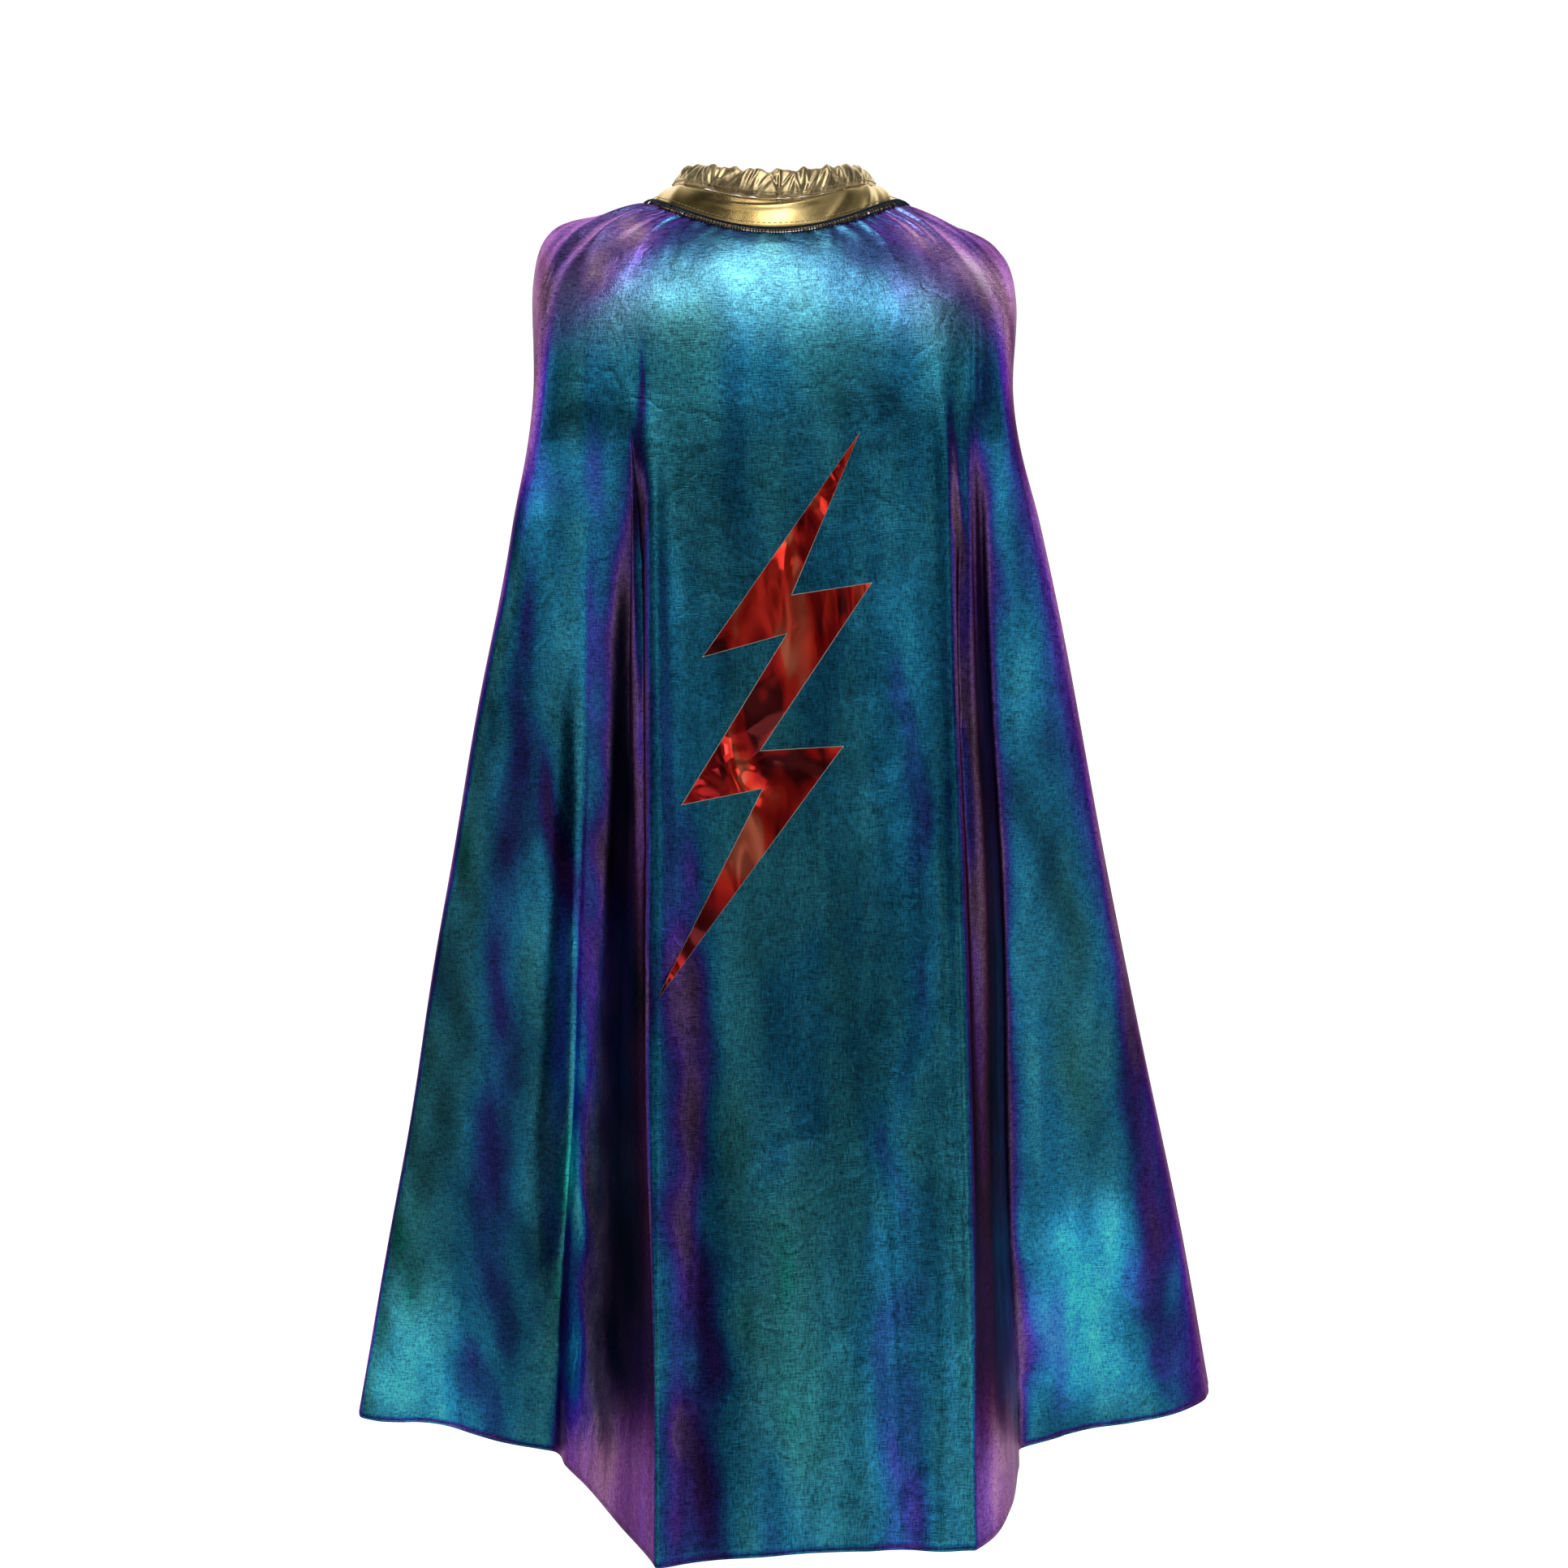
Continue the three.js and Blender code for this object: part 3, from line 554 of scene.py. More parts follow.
class Nodes:
    """A small helper for building the node tree of a material or of the world."""

    def __init__(self, owner, shader="Principled BSDF", space="Object"):
        self.owner = owner
        owner.use_nodes = True
        self.tree = owner.node_tree
        self.shader = self.tree.nodes[shader]
        self.coordinates = self.add("ShaderNodeTexCoord").outputs[space]

    def add(self, kind, **settings):
        node = self.tree.nodes.new(kind)
        for key, value in settings.items():
            setattr(node, key, value)
        return node

    def link(self, source, target):
        self.tree.links.new(source, target)

    def feed(self, socket, value):
        if isinstance(value, bpy.types.NodeSocket):
            self.link(value, socket)
        elif isinstance(value, tuple) and len(value) == 3 and socket.type == "RGBA":
            socket.default_value = (*value, 1)
        else:
            socket.default_value = value

    def stretched(self, scale, turn=(0, 0, 0)):
        mapping = self.add("ShaderNodeMapping")
        self.link(self.coordinates, mapping.inputs["Vector"])
        mapping.inputs["Scale"].default_value = scale
        mapping.inputs["Rotation"].default_value = turn
        return mapping.outputs["Vector"]

    def noise(self, scale, detail=3.0, rough=0.5, vector=None, distortion=0.0):
        node = self.add("ShaderNodeTexNoise")
        self.feed(node.inputs["Vector"], vector or self.coordinates)
        node.inputs["Scale"].default_value = scale
        node.inputs["Detail"].default_value = detail
        node.inputs["Roughness"].default_value = rough
        node.inputs["Distortion"].default_value = distortion
        return node.outputs["Fac"]

    def math(self, operation, first, second=0.0, clamp=False):
        node = self.add("ShaderNodeMath", operation=operation, use_clamp=clamp)
        self.feed(node.inputs[0], first)
        self.feed(node.inputs[1], second)
        return node.outputs[0]

    def remap(self, value, low, high, to_low, to_high, **settings):
        node = self.add("ShaderNodeMapRange", **settings)
        self.feed(node.inputs["Value"], value)
        node.inputs["From Min"].default_value = low
        node.inputs["From Max"].default_value = high
        node.inputs["To Min"].default_value = to_low
        node.inputs["To Max"].default_value = to_high
        return node.outputs["Result"]

    def spread(self, noise, to_low, to_high):
        """Remaps a noise, most of which lies between 0.3 and 0.7."""
        return self.remap(noise, 0.3, 0.7, to_low, to_high)

    def ramp(self, value, stops, interpolation="LINEAR"):
        node = self.add("ShaderNodeValToRGB")
        node.color_ramp.interpolation = interpolation
        elements = node.color_ramp.elements
        while len(elements) > 1:
            elements.remove(elements[-1])
        elements[0].position, elements[0].color = stops[0][0], (*stops[0][1], 1)
        for place, colour in stops[1:]:
            elements.new(place).color = (*colour, 1)
        self.feed(node.inputs["Fac"], value)
        return node.outputs["Color"]

    def mix(self, share, first, second):
        node = self.add("ShaderNodeMix", data_type="RGBA")
        self.feed(node.inputs["Factor"], share)
        first_socket, second_socket = [s for s in node.inputs if s.type == "RGBA"][:2]
        self.feed(first_socket, first)
        self.feed(second_socket, second)
        return [s for s in node.outputs if s.type == "RGBA"][0]

    def bump(self, height, distance, normal=None):
        node = self.add("ShaderNodeBump")
        node.inputs["Distance"].default_value = distance
        node.inputs["Strength"].default_value = 1.0
        self.link(height, node.inputs["Height"])
        if normal is not None:
            self.link(normal, node.inputs["Normal"])
        return node.outputs["Normal"]

    def finish(self, colour, roughness, normal=None, metallic=0.0, **plain):
        self.feed(self.shader.inputs["Base Color"], colour)
        self.feed(self.shader.inputs["Roughness"], roughness)
        self.shader.inputs["Metallic"].default_value = metallic
        if normal is not None:
            self.link(normal, self.shader.inputs["Normal"])
        for name, value in plain.items():
            self.shader.inputs[name.replace("_", " ")].default_value = value
        return self.owner


# The layer carries painted light: green is painted shade and painted highlights, blue whitens the
# colour as a painted highlight.
PAINTED_LIGHT_LAYER = "painted_light"  # red: turn, 0.5 for none; green: half the light left; blue: paleness

# How the foil's colour turns from pink at a slant to teal face on, read from the fixed
# back direction of the cape.
FOIL_COLOURS = [
    (0.00, (0.70, 0.44, 0.60)),
    (0.20, (0.50, 0.26, 0.60)),
    (0.34, (0.30, 0.15, 0.54)),
    (0.46, (0.13, 0.06, 0.50)),
    (0.55, (0.05, 0.075, 0.44)),
    (0.64, (0.026, 0.145, 0.44)),
    (0.73, (0.020, 0.24, 0.44)),
    (0.83, (0.036, 0.29, 0.40)),
    (0.90, (0.040, 0.285, 0.34)),
    (1.00, (0.014, 0.26, 0.24)),
]
MOST_TURNED = 1.2  # what the ramp's far end stands for


def foil_knit(name):
    n = Nodes(bpy.data.materials.new(name))
    geometry = n.add("ShaderNodeNewGeometry")
    facing = n.add("ShaderNodeVectorMath", operation="DOT_PRODUCT")
    n.link(geometry.outputs["Normal"], facing.inputs[0])
    facing.inputs[1].default_value = (0, -1, 0)
    streak = n.add("ShaderNodeAttribute", attribute_name=PAINTED_LIGHT_LAYER)
    parts = n.add("ShaderNodeSeparateColor")
    n.link(streak.outputs["Color"], parts.inputs[0])
    placed = n.remap(parts.outputs["Red"], 0, 1, -1, 1)
    patches = n.noise(7, 2, 0.5, n.stretched((1.8, 1.8, 0.4)))
    ribbons = n.noise(1, 2, 0.5, n.stretched((46, 46, 6)))
    fine_patches = n.noise(38, 3, 0.55, n.stretched((1, 1, 0.4)))
    shift = n.spread(patches, -0.09, 0.07)
    shift = n.math("ADD", shift, n.spread(ribbons, -0.06, 0.05))
    shift = n.math("ADD", shift, n.spread(fine_patches, -0.04, 0.03))
    face_on = n.math("ABSOLUTE", facing.outputs["Value"])
    turned = n.math("ADD", n.math("ADD", face_on, shift), placed)
    colour = n.ramp(n.math("DIVIDE", turned, MOST_TURNED, clamp=True), FOIL_COLOURS, "EASE")
    grain = n.noise(1, 2, 0.6, n.stretched((1300, 1300, 260)))
    rows = n.noise(1, 2, 0.6, n.stretched((240, 240, 1900)))
    # Mixing towards pale pink by the blue channel is a painted highlight.
    colour = n.mix(parts.outputs["Blue"], colour, (0.95, 0.70, 0.90))
    speck = n.math("ADD", grain, rows)
    shade = n.remap(speck, 0.75, 1.25, 0.42, 1.6)
    shade = n.math("MULTIPLY", shade, n.spread(ribbons, 0.62, 1.22))
    shade = n.math("MULTIPLY", shade, n.spread(patches, 1.2, 0.72))
    # The green channel multiplies painted light and shade into the colour.
    shade = n.math("MULTIPLY", shade, n.math("MULTIPLY", parts.outputs["Green"], 2.0))
    tint = n.add("ShaderNodeVectorMath", operation="SCALE")
    n.link(colour, tint.inputs[0])
    n.link(shade, tint.inputs["Scale"])
    crumple = n.noise(30, 3, 0.5, n.stretched((1, 1, 0.6)))
    crush = n.noise(150, 3, 0.55, n.stretched((1, 1, 0.7)))
    ridge = n.math("ABSOLUTE", n.math("SUBTRACT", n.noise(17, 3, 0.6), 0.5))
    normal = n.bump(n.remap(ridge, 0, 0.03, 0, 1), 0.00010)
    normal = n.bump(crumple, 0.0013, normal=normal)
    normal = n.bump(crush, 0.00022, normal=normal)
    normal = n.bump(speck, 0.00011, normal=normal)
    roughness = n.spread(n.noise(60, 3), 0.27, 0.38)
    return n.finish(tint.outputs[0], roughness, normal, metallic=1.0,
                    Specular_Tint=(0.40, 0.20, 0.42, 1), Coat_Weight=0.08, Coat_Roughness=0.25)


def gold_cloth(name, colours, scale, wrinkle, roughness):
    n = Nodes(bpy.data.materials.new(name))
    patches = n.noise(scale, 4, 0.6)
    weave = n.noise(1, 2, 0.6, n.stretched((1500, 1500, 2600)))
    colour = n.ramp(patches, [(0.3, colours[0]), (0.6, colours[1])])
    normal = n.bump(n.noise(scale, 2, 0.5), wrinkle)
    normal = n.bump(weave, 0.00006, normal=normal)
    shine = n.spread(patches, roughness, roughness + 0.12)
    return n.finish(colour, shine, normal, metallic=1.0)


def red_foil(name):
    n = Nodes(bpy.data.materials.new(name))
    soft = n.noise(1, 1, 0.4, n.stretched((17, 17, 10), (0, -0.6, 0)), distortion=0.8)
    dull = n.noise(300, 2, 0.5)
    # The swirl ramp is painted reflection: its dark swirls stand for a mirrored dark room, its
    # bright and pale ones are painted highlights.
    reflection_swirl = n.noise(1, 2, 0.45, n.stretched((30, 30, 13), (0, -0.6, 0)), distortion=1.6)
    colour = n.ramp(reflection_swirl, [(0.36, (0.12, 0.001, 0.002)), (0.45, (0.60, 0.008, 0.008)),
                            (0.55, (1.0, 0.035, 0.015)), (0.68, (1.0, 0.22, 0.11))], "EASE")
    normal = n.bump(soft, 0.035)
    normal = n.bump(n.noise(45, 2, 0.4), 0.0005, normal=normal)
    return n.finish(colour, n.spread(dull, 0.06, 0.14), normal, metallic=0.7,
                    Coat_Weight=0.12, Coat_Roughness=0.06)


def plain_cloth(name, dark, light, thread=900, depth=0.00015, rough=0.8, **plain):
    n = Nodes(bpy.data.materials.new(name))
    warp = n.noise(1, 2, 0.6, n.stretched((thread, thread, thread * 0.25)))
    weft = n.noise(1, 2, 0.6, n.stretched((thread * 0.25, thread * 0.25, thread)))
    weave = n.math("ADD", warp, weft)
    fade = n.noise(18, 3, 0.5)
    mottle = n.math("MULTIPLY", n.math("ADD", weave, fade), 0.34)
    colour = n.ramp(mottle, [(0.35, dark), (0.65, light)])
    normal = n.bump(weave, depth)
    shine = n.spread(fade, rough - 0.06, rough + 0.06)
    return n.finish(colour, shine, normal, **plain)


FOIL = foil_knit("iridescent_foil_knit")
LINING = plain_cloth("dark_lining", (0.008, 0.014, 0.03), (0.03, 0.045, 0.085), Sheen_Weight=0.2)
EDGE = foil_knit("turned_edge")
GOLD = gold_cloth("gold_foil_cloth", [(0.55, 0.37, 0.12), (0.75, 0.56, 0.24)], 24, 0.0016, 0.16)
OLD_GOLD = gold_cloth(
    "gathered_gold_cloth", [(0.46, 0.33, 0.17), (0.78, 0.62, 0.34)], 130, 0.0008, 0.3)
RED = red_foil("red_foil")
BOND, GOLD_THREAD, DARK_THREAD, ELASTIC, TAPE, LABEL = (plain_cloth(*looks) for looks in (
    ("bonding_film", (0.62, 0.55, 0.48), (0.80, 0.76, 0.70), 600, 0.00005, 0.5),
    ("gold_thread", (0.40, 0.29, 0.10), (0.70, 0.56, 0.28), 2500, 0.0001, 0.55),
    ("dark_thread", (0.004, 0.008, 0.02), (0.02, 0.04, 0.07), 2500, 0.0001, 0.7),
    ("white_elastic", (0.6, 0.59, 0.55), (0.85, 0.84, 0.8), 700, 0.0002, 0.85),
    ("hook_and_loop", (0.006, 0.006, 0.007), (0.035, 0.035, 0.038), 1400, 0.0006, 0.95),
    ("label_tape", (0.70, 0.68, 0.62), (0.90, 0.88, 0.84), 1600, 0.00008, 0.7),
))

# ---- the cape's cloth ----

# Millimetres out from the middle of the drape.
SHELL_HALF = 0.4
LINING_OUT = -1.1
LINING_IN = -1.7
COLUMNS = 361
ROWS = 281

across_places = np.linspace(0, PLACES_ACROSS[-1], COLUMNS)
# The rows crowd together near the neck, where the gathers are small.
row_share = np.linspace(0, 1, ROWS)
down_places = HEM_DOWN * (0.55 * row_share + 0.45 * row_share**2)
flat_drape = drape(across_places, down_places)
middle = flat_drape + outward(flat_drape) * wrinkle_height(
    flat_drape, across_places, down_places)[..., None]
facing_out = outward(middle)


def cloth_piece(name, out, inside, step, material):
    grid = middle[::step, ::step]
    normal = facing_out[::step, ::step]
    return plate(name, grid + normal * out, grid + normal * inside, material)


def paint_light_and_shade(piece):
    """Keeps each point's colour turn, painted light and shade, and painted highlight paleness with
    the mesh, for the foil's nodes.
    """
    count = len(piece.data.vertices)
    places = np.empty(count * 3)
    piece.data.vertices.foreach_get("co", places)
    x, _, z = places.reshape(-1, 3).T / MM
    turned, light = painted_turn_and_light(x, z)
    normals = np.empty(count * 3)
    piece.data.vertices.foreach_get("normal", normals)
    light = light * pleat_shade(x, z, -normals[1::3])
    # The paleness is a painted highlight that whitens the foil at the top, more towards the
    # shoulders.
    pale = smooth(-80, -25, z) * (0.06 + 0.12 * smooth(50, 95, np.abs(x)))
    layer = piece.data.attributes.new(PAINTED_LIGHT_LAYER, "FLOAT_COLOR", "POINT")
    values = np.stack([turned / 2 + 0.5, light / 2, pale, np.ones(count)], axis=1)
    layer.data.foreach_set("color", values.ravel())


shell = cloth_piece("shell_cloth", SHELL_HALF, -SHELL_HALF, 1, FOIL)
paint_light_and_shade(shell)
lining = cloth_piece("lining_cloth", LINING_OUT, LINING_IN, 2, LINING)
claim(shell, "shell")
claim(lining, "lining")

# ---- the turned edges ----


def edge_roll(side, inside, edge):
    """A thin roll along an edge of the cloth; inside is a line a little way in from it."""
    away = edge - inside
    away /= np.linalg.norm(away, axis=1, keepdims=True)
    piece = tubes(side + "_turned_edge", [edge + away * 0.7], 1.0, 10, EDGE)
    paint_light_and_shade(piece)
    claim(piece, side + "_rolled_edge")


layers_middle = middle + facing_out * (LINING_OUT - SHELL_HALF) / 2
edge_roll("hem", layers_middle[-3], layers_middle[-1])
edge_roll("left_front", layers_middle[4:-1, 2], layers_middle[4:-1, 0])
edge_roll("right_front", layers_middle[4:-1, -3], layers_middle[4:-1, -1])

# ---- the bolt ----


PANEL_ANGLES = (-26, 3, 36)  # left edge, middle and right edge of the flat back panel


def on_panel(xz, distance):
    """Points on the back panel at given across and height, in millimetres."""
    left_place, centre_place, right_place = np.interp(PANEL_ANGLES, FOLD_ANGLES, PLACES_ACROSS)
    centre = int(np.argmin(np.abs(across_places - centre_place)))
    left, right = np.searchsorted(across_places, [left_place, right_place])
    heights = -middle[:, centre, 2]
    surface = middle + facing_out * distance
    points = []
    for x, z in xz:
        row = float(np.interp(-z, heights, np.arange(len(heights))))
        i = min(int(row), len(heights) - 2)
        share = row - i
        both = []
        for k in (i, i + 1):
            xs = surface[k, left:right, 0]
            both.append([np.interp(x, xs, surface[k, left:right, axis]) for axis in (1, 2)])
        y = both[0][0] * (1 - share) + both[1][0] * share
        points.append((x, y, z))
    return np.array(points)


def grown(outline, amount):
    """The outline moved outwards by an amount along its corners' mitres."""
    points = [Vector(p) for p in outline]
    area = sum(a.x * b.y - b.x * a.y for a, b in zip(points, points[1:] + points[:1]))
    turn = 1 if area > 0 else -1
    result = []
    for i, point in enumerate(points):
        before = (point - points[i - 1]).normalized()
        after = (points[(i + 1) % len(points)] - point).normalized()
        first = Vector((before.y, -before.x)) * turn
        second = Vector((after.y, -after.x)) * turn
        mitre = (first + second).normalized()
        result.append(tuple(point + mitre * amount / max(mitre.dot(first), 0.45)))
    return result


CRISP_EDGE = math.radians(50)


def bolt_piece(name, outline, low, high, longest, material, node):
    """A plate cut to the outline, its faces low and high millimetres off the drape's middle."""
    bm = bmesh.new()
    corners = [bm.verts.new((x, 0, z)) for x, z in outline]
    for triangle in tessellate_polygon([[Vector((x, z, 0)) for x, z in outline]]):
        bm.faces.new([corners[i] for i in triangle])
    bmesh.ops.recalc_face_normals(bm, faces=bm.faces)
    for _ in range(9):
        long_edges = [edge for edge in bm.edges if edge.calc_length() > longest]
        if not long_edges:
            break
        bmesh.ops.subdivide_edges(bm, edges=long_edges, cuts=1)
        bmesh.ops.triangulate(bm, faces=bm.faces[:])
        bmesh.ops.beautify_fill(bm, faces=bm.faces[:], edges=bm.edges[:])
    bm.verts.index_update()
    flat = [(v.co.x, v.co.z) for v in bm.verts]
    faces = [[v.index for v in f.verts] for f in bm.faces]
    rim = [(e.verts[0].index, e.verts[1].index) for e in bm.edges if e.is_boundary]
    bm.free()
    count = len(flat)
    outer, inner = on_panel(flat, high), on_panel(flat, low)
    faces += [[i + count for i in face[::-1]] for face in faces]
    faces += [[a, b, b + count, a + count] for a, b in rim]
    piece = new_object(name, np.concatenate([outer, inner]) * MM, faces, material)
    fix_normals(piece, CRISP_EDGE)
    claim(piece, node)


bolt_piece("bolt_bond", grown(BOLT, 0.45), 0.5, 0.9, 8.0, BOND,
           "bolt_bonding_film")
bolt_piece("bolt_foil", BOLT, 1.0, 1.5, 5.0, RED, "lightning_bolt")

# ---- the collar ----


def collar(angles, heights, distance):
    """Points on the collar: height 0 is the neck seam, 1 the yoke's top, 2 the casing's."""
    angles, heights = np.broadcast_arrays(angles, heights)
    seam, middle_ring, top = (ring_point(r, angles) for r in (NECK_SEAM, YOKE_TOP, CASING_TOP))
    low = np.clip(heights, None, 1)[..., None]
    high = np.clip(heights - 1, 0, None)[..., None]
    points = seam + (middle_ring - seam) * low + (top - middle_ring) * high
    rise = np.where((heights < 1)[..., None], middle_ring - seam, top - middle_ring)
    turn = np.radians(angles)
    ring_x = (YOKE_TOP["rx"] * np.cos(turn))[..., None] * np.array([1.0, 0, 0])
    ring_y = (YOKE_TOP["ry"] * np.sin(turn))[..., None] * np.array([0, 1.0, 0])
    normal = np.cross(ring_x + ring_y, rise)
    normal /= np.linalg.norm(normal, axis=-1, keepdims=True)
    return points + normal * np.asarray(distance)[..., None]


# Slanted folds of the yoke: angle, lean, half width and rise.
YOKE_FOLDS = [
    (52, 16, 3.0, 0.9), (60, 12, 2.6, -0.7), (70, 14, 3.0, 0.9),
    (-58, -10, 4.0, 0.5), (-74, -12, 3.0, 0.7), (34, 20, 4.0, 0.4),
]


def yoke_relief(angles, heights):
    """Soft folds in the smooth gold band, in millimetres. Its lapping ends lie flat."""
    ridge = 0.8 * bump(heights - 0.62 - (angles + 20) * 0.004, 0.10) * smooth(-42, -20, angles)
    ridge = ridge * (1 - smooth(5, 30, angles))
    slanted = np.zeros(angles.shape)
    for place, lean, width, rise in YOKE_FOLDS:
        slanted += rise * bump(angles - place - lean * (heights - 0.5), width)
    roll = 0.5 * np.sin(heights * math.pi)
    hang = 0.25 * np.sin(np.radians(angles * 7 + 40)) * np.sin(heights * math.pi)
    edge = -0.6 * bump(heights, 0.06) - 0.5 * bump(heights - 0.98, 0.06)
    flat_end = 1 - smooth(160, 169, np.abs(angles))
    return (ridge + slanted + roll + hang + edge) * flat_end - 0.3 * (1 - flat_end)


def casing_relief(angles, heights):
    """Gathers that the elastic draws the casing into."""
    pick = np.random.default_rng(3)
    height = np.zeros(angles.shape)
    share = heights - 1
    for start in np.arange(-174, 175, 3.4):
        place = start + pick.uniform(-1.2, 1.2)
        lean = pick.normal(5, 6)
        width = pick.uniform(0.9, 1.9)
        rise = pick.uniform(0.3, 1.25)
        middle_share = pick.uniform(0.3, 0.8)
        fade = bump(share - middle_share, pick.uniform(0.3, 0.6))
        height += rise * fade * bump(angles - place - lean * (share - 0.5), width)
    return height - 0.6


def band(name, angles, heights, outer, inner, material, node, body="cape"):
    angle, height = np.meshgrid(angles, heights)
    piece = plate(name, collar(angle, height, outer(angle, height)),
                  collar(angle, height, inner(angle, height)), material)
    fix_normals(piece)
    claim(piece, node, body)


yoke_angles = np.linspace(-COLLAR_END, COLLAR_END, 520)
yoke_heights = np.linspace(0.0, 0.985, 26)
band("yoke_band", yoke_angles, yoke_heights,
     lambda a, h: 1.3 + yoke_relief(a, h), lambda a, h: 0.3 + yoke_relief(a, h),
     GOLD, "yoke")
band("yoke_facing_band", yoke_angles[::3], yoke_heights[::3],
     lambda a, h: -0.7, lambda a, h: -1.4, GOLD, "yoke_facing")


def casing_piece():
    """A flattened tube of gathered cloth round the elastic, open at both ends."""
    angles = np.linspace(-COLLAR_END, COLLAR_END, 900)
    front = np.linspace(0, 1, 26)
    back = front[::-1][1:-1]
    low, high = 1.035, 2.0
    turn = np.concatenate([front, back])
    sign = np.concatenate([np.ones(len(front)), -np.ones(len(back))])
    flat = 2.0 * np.sin(turn * math.pi) ** 0.5
    angle, _ = np.meshgrid(angles, turn)
    scallop = 0.05 * np.sin(np.radians(angle * 23)) + 0.03 * np.sin(np.radians(angle * 41 + 60))
    height = low + (high + scallop - low) * turn[:, None]
    relief = casing_relief(angle, height)
    body = sign[:, None] * flat[:, None]
    outside = sign[:, None] > 0
    outer = collar(angle, height, body + np.where(outside, relief, 0.25 * relief))
    inner = collar(angle, 1 + (height - 1) * 0.96 + 0.02,
                   body * 0.7 + np.where(outside, relief * 0.9, 0.2 * relief))
    points = np.concatenate([skin.transpose(1, 0, 2).reshape(-1, 3) for skin in (outer, inner)])
    faces = []
    size, columns = len(turn), len(angles)
    shift = size * columns
    for i in range(columns - 1):
        for k in range(size):
            m = (k + 1) % size
            a, b = i * size, (i + 1) * size
            faces.append([a + k, a + m, b + m, b + k])
            faces.append([shift + a + k, shift + b + k, shift + b + m, shift + a + m])
    for k in range(size):
        m = (k + 1) % size
        e = (columns - 1) * size
        faces.append([k, shift + k, shift + m, m])
        faces.append([e + k, e + m, shift + e + m, shift + e + k])
    piece = new_object("casing_band", points * MM, faces, OLD_GOLD)
    fix_normals(piece)
    claim(piece, "collar_casing")


casing_piece()

# ---- stitching, elastic, closure and label ----


def collar_line(angles, height, distance):
    """Points along the collar at one height and one distance from it."""
    return collar(np.asarray(angles, float), height, distance)


def stitch_runs(path, length, gap, sink=0.35):
    """Single stitches along a dense path: each dips into the cloth at both ends."""
    step = np.linalg.norm(np.diff(path[:, 0], axis=0), axis=1)
    along = np.concatenate([[0], np.cumsum(step)])
    base, normal = path[:, 0], path[:, 1]
    runs = []
    start = 0.0
    while start + length < along[-1]:
        share = np.linspace(0, 1, 6)
        at = start + share * length
        centre = np.stack([np.interp(at, along, base[:, k]) for k in range(3)], axis=1)
        out = np.stack([np.interp(at, along, normal[:, k]) for k in range(3)], axis=1)
        dip = sink * (2 * share - 1) ** 4
        runs.append(centre - out * dip[:, None])
        start += length + gap
    return runs


def collar_path(angles, height, distance):
    """Points just off the collar's skin, each with its outward direction."""
    skin = distance(angles, np.full(len(angles), height))
    base = collar(angles, height, skin)
    return np.stack([base, collar(angles, height, skin + 1) - base], axis=1)


def thread_piece(name, runs, radius, material, node, sides=6, body="cape"):
    claim(tubes(name, runs, radius, sides, material), node, body)


def overlock_runs():
    """The dark overlock along the neck seam: a double line with teeth on to the shell."""
    angles = np.linspace(-SEWN_TO, SEWN_TO, 1500)
    line = collar_line(angles, -0.015, 1.5)
    second = collar_line(angles, 0.02, 1.9)
    teeth = []
    for k, angle in enumerate(np.arange(-157, 157, 1.35)):
        across = np.interp(angle * BLADE_REACH / NECK_REACH, FOLD_ANGLES, PLACES_ACROSS)
        column = int(np.clip(np.searchsorted(across_places, across), 1, COLUMNS - 2))
        row = int(np.searchsorted(down_places, 2.6 + 0.9 * math.sin(k * 2.4)))
        foot = middle[row, column] + facing_out[row, column] * (SHELL_HALF + 0.25)
        top = collar_line([angle + 0.5], 0.015, 1.9)[0]
        over = (foot + top) / 2 + facing_out[row, column] * 0.5
        teeth.append(np.array([top, over, foot]))
    return [line, second] + teeth


thread_piece("neck_overlock", overlock_runs(), 0.36,
             DARK_THREAD, "neck_seam_overlock", sides=5)
thread_piece("neck_gathering_thread", [collar_line(np.linspace(-156, 156, 240), 0.02, -2.0)], 0.3,
             DARK_THREAD, "gathering_thread")
yoke_path = collar_path(np.linspace(-150, 150, 1200), 0.17, lambda a, h: 1.42 + yoke_relief(a, h))
thread_piece("yoke_stitches", stitch_runs(yoke_path, 2.3, 0.7), 0.2, GOLD_THREAD,
             "yoke_topstitch")
casing_path = collar_path(np.linspace(-170, 170, 1800), 1.2,
                          lambda a, h: 1.75 + casing_relief(a, h))
thread_piece("casing_stitches", stitch_runs(casing_path, 1.9, 0.8), 0.24, GOLD_THREAD,
             "casing_topstitch")

elastic_angles = np.linspace(-COLLAR_END + 1, COLLAR_END - 1, 300)
band("collar_elastic", elastic_angles, np.linspace(1.25, 1.85, 8),
     lambda a, h: 0.55 + 0.12 * np.sin(h * 60), lambda a, h: -0.55 - 0.12 * np.sin(h * 60),
     ELASTIC, "neck_elastic")

# The tab: its angles at the root, the top of the step and the free end, its low and high
# edges up the yoke, and how far its skin stands out at the root and climbs over the step.
TAB_ROOT, TAB_STEP, TAB_FREE = 187.2, 174, 142
TAB_LOW, TAB_HIGH = 0.12, 0.88
TAB_SKIN, TAB_CLIMB = 1.0, 3.5


def tab_lift(angles):
    return smooth(0, TAB_ROOT - TAB_STEP, TAB_ROOT - angles)


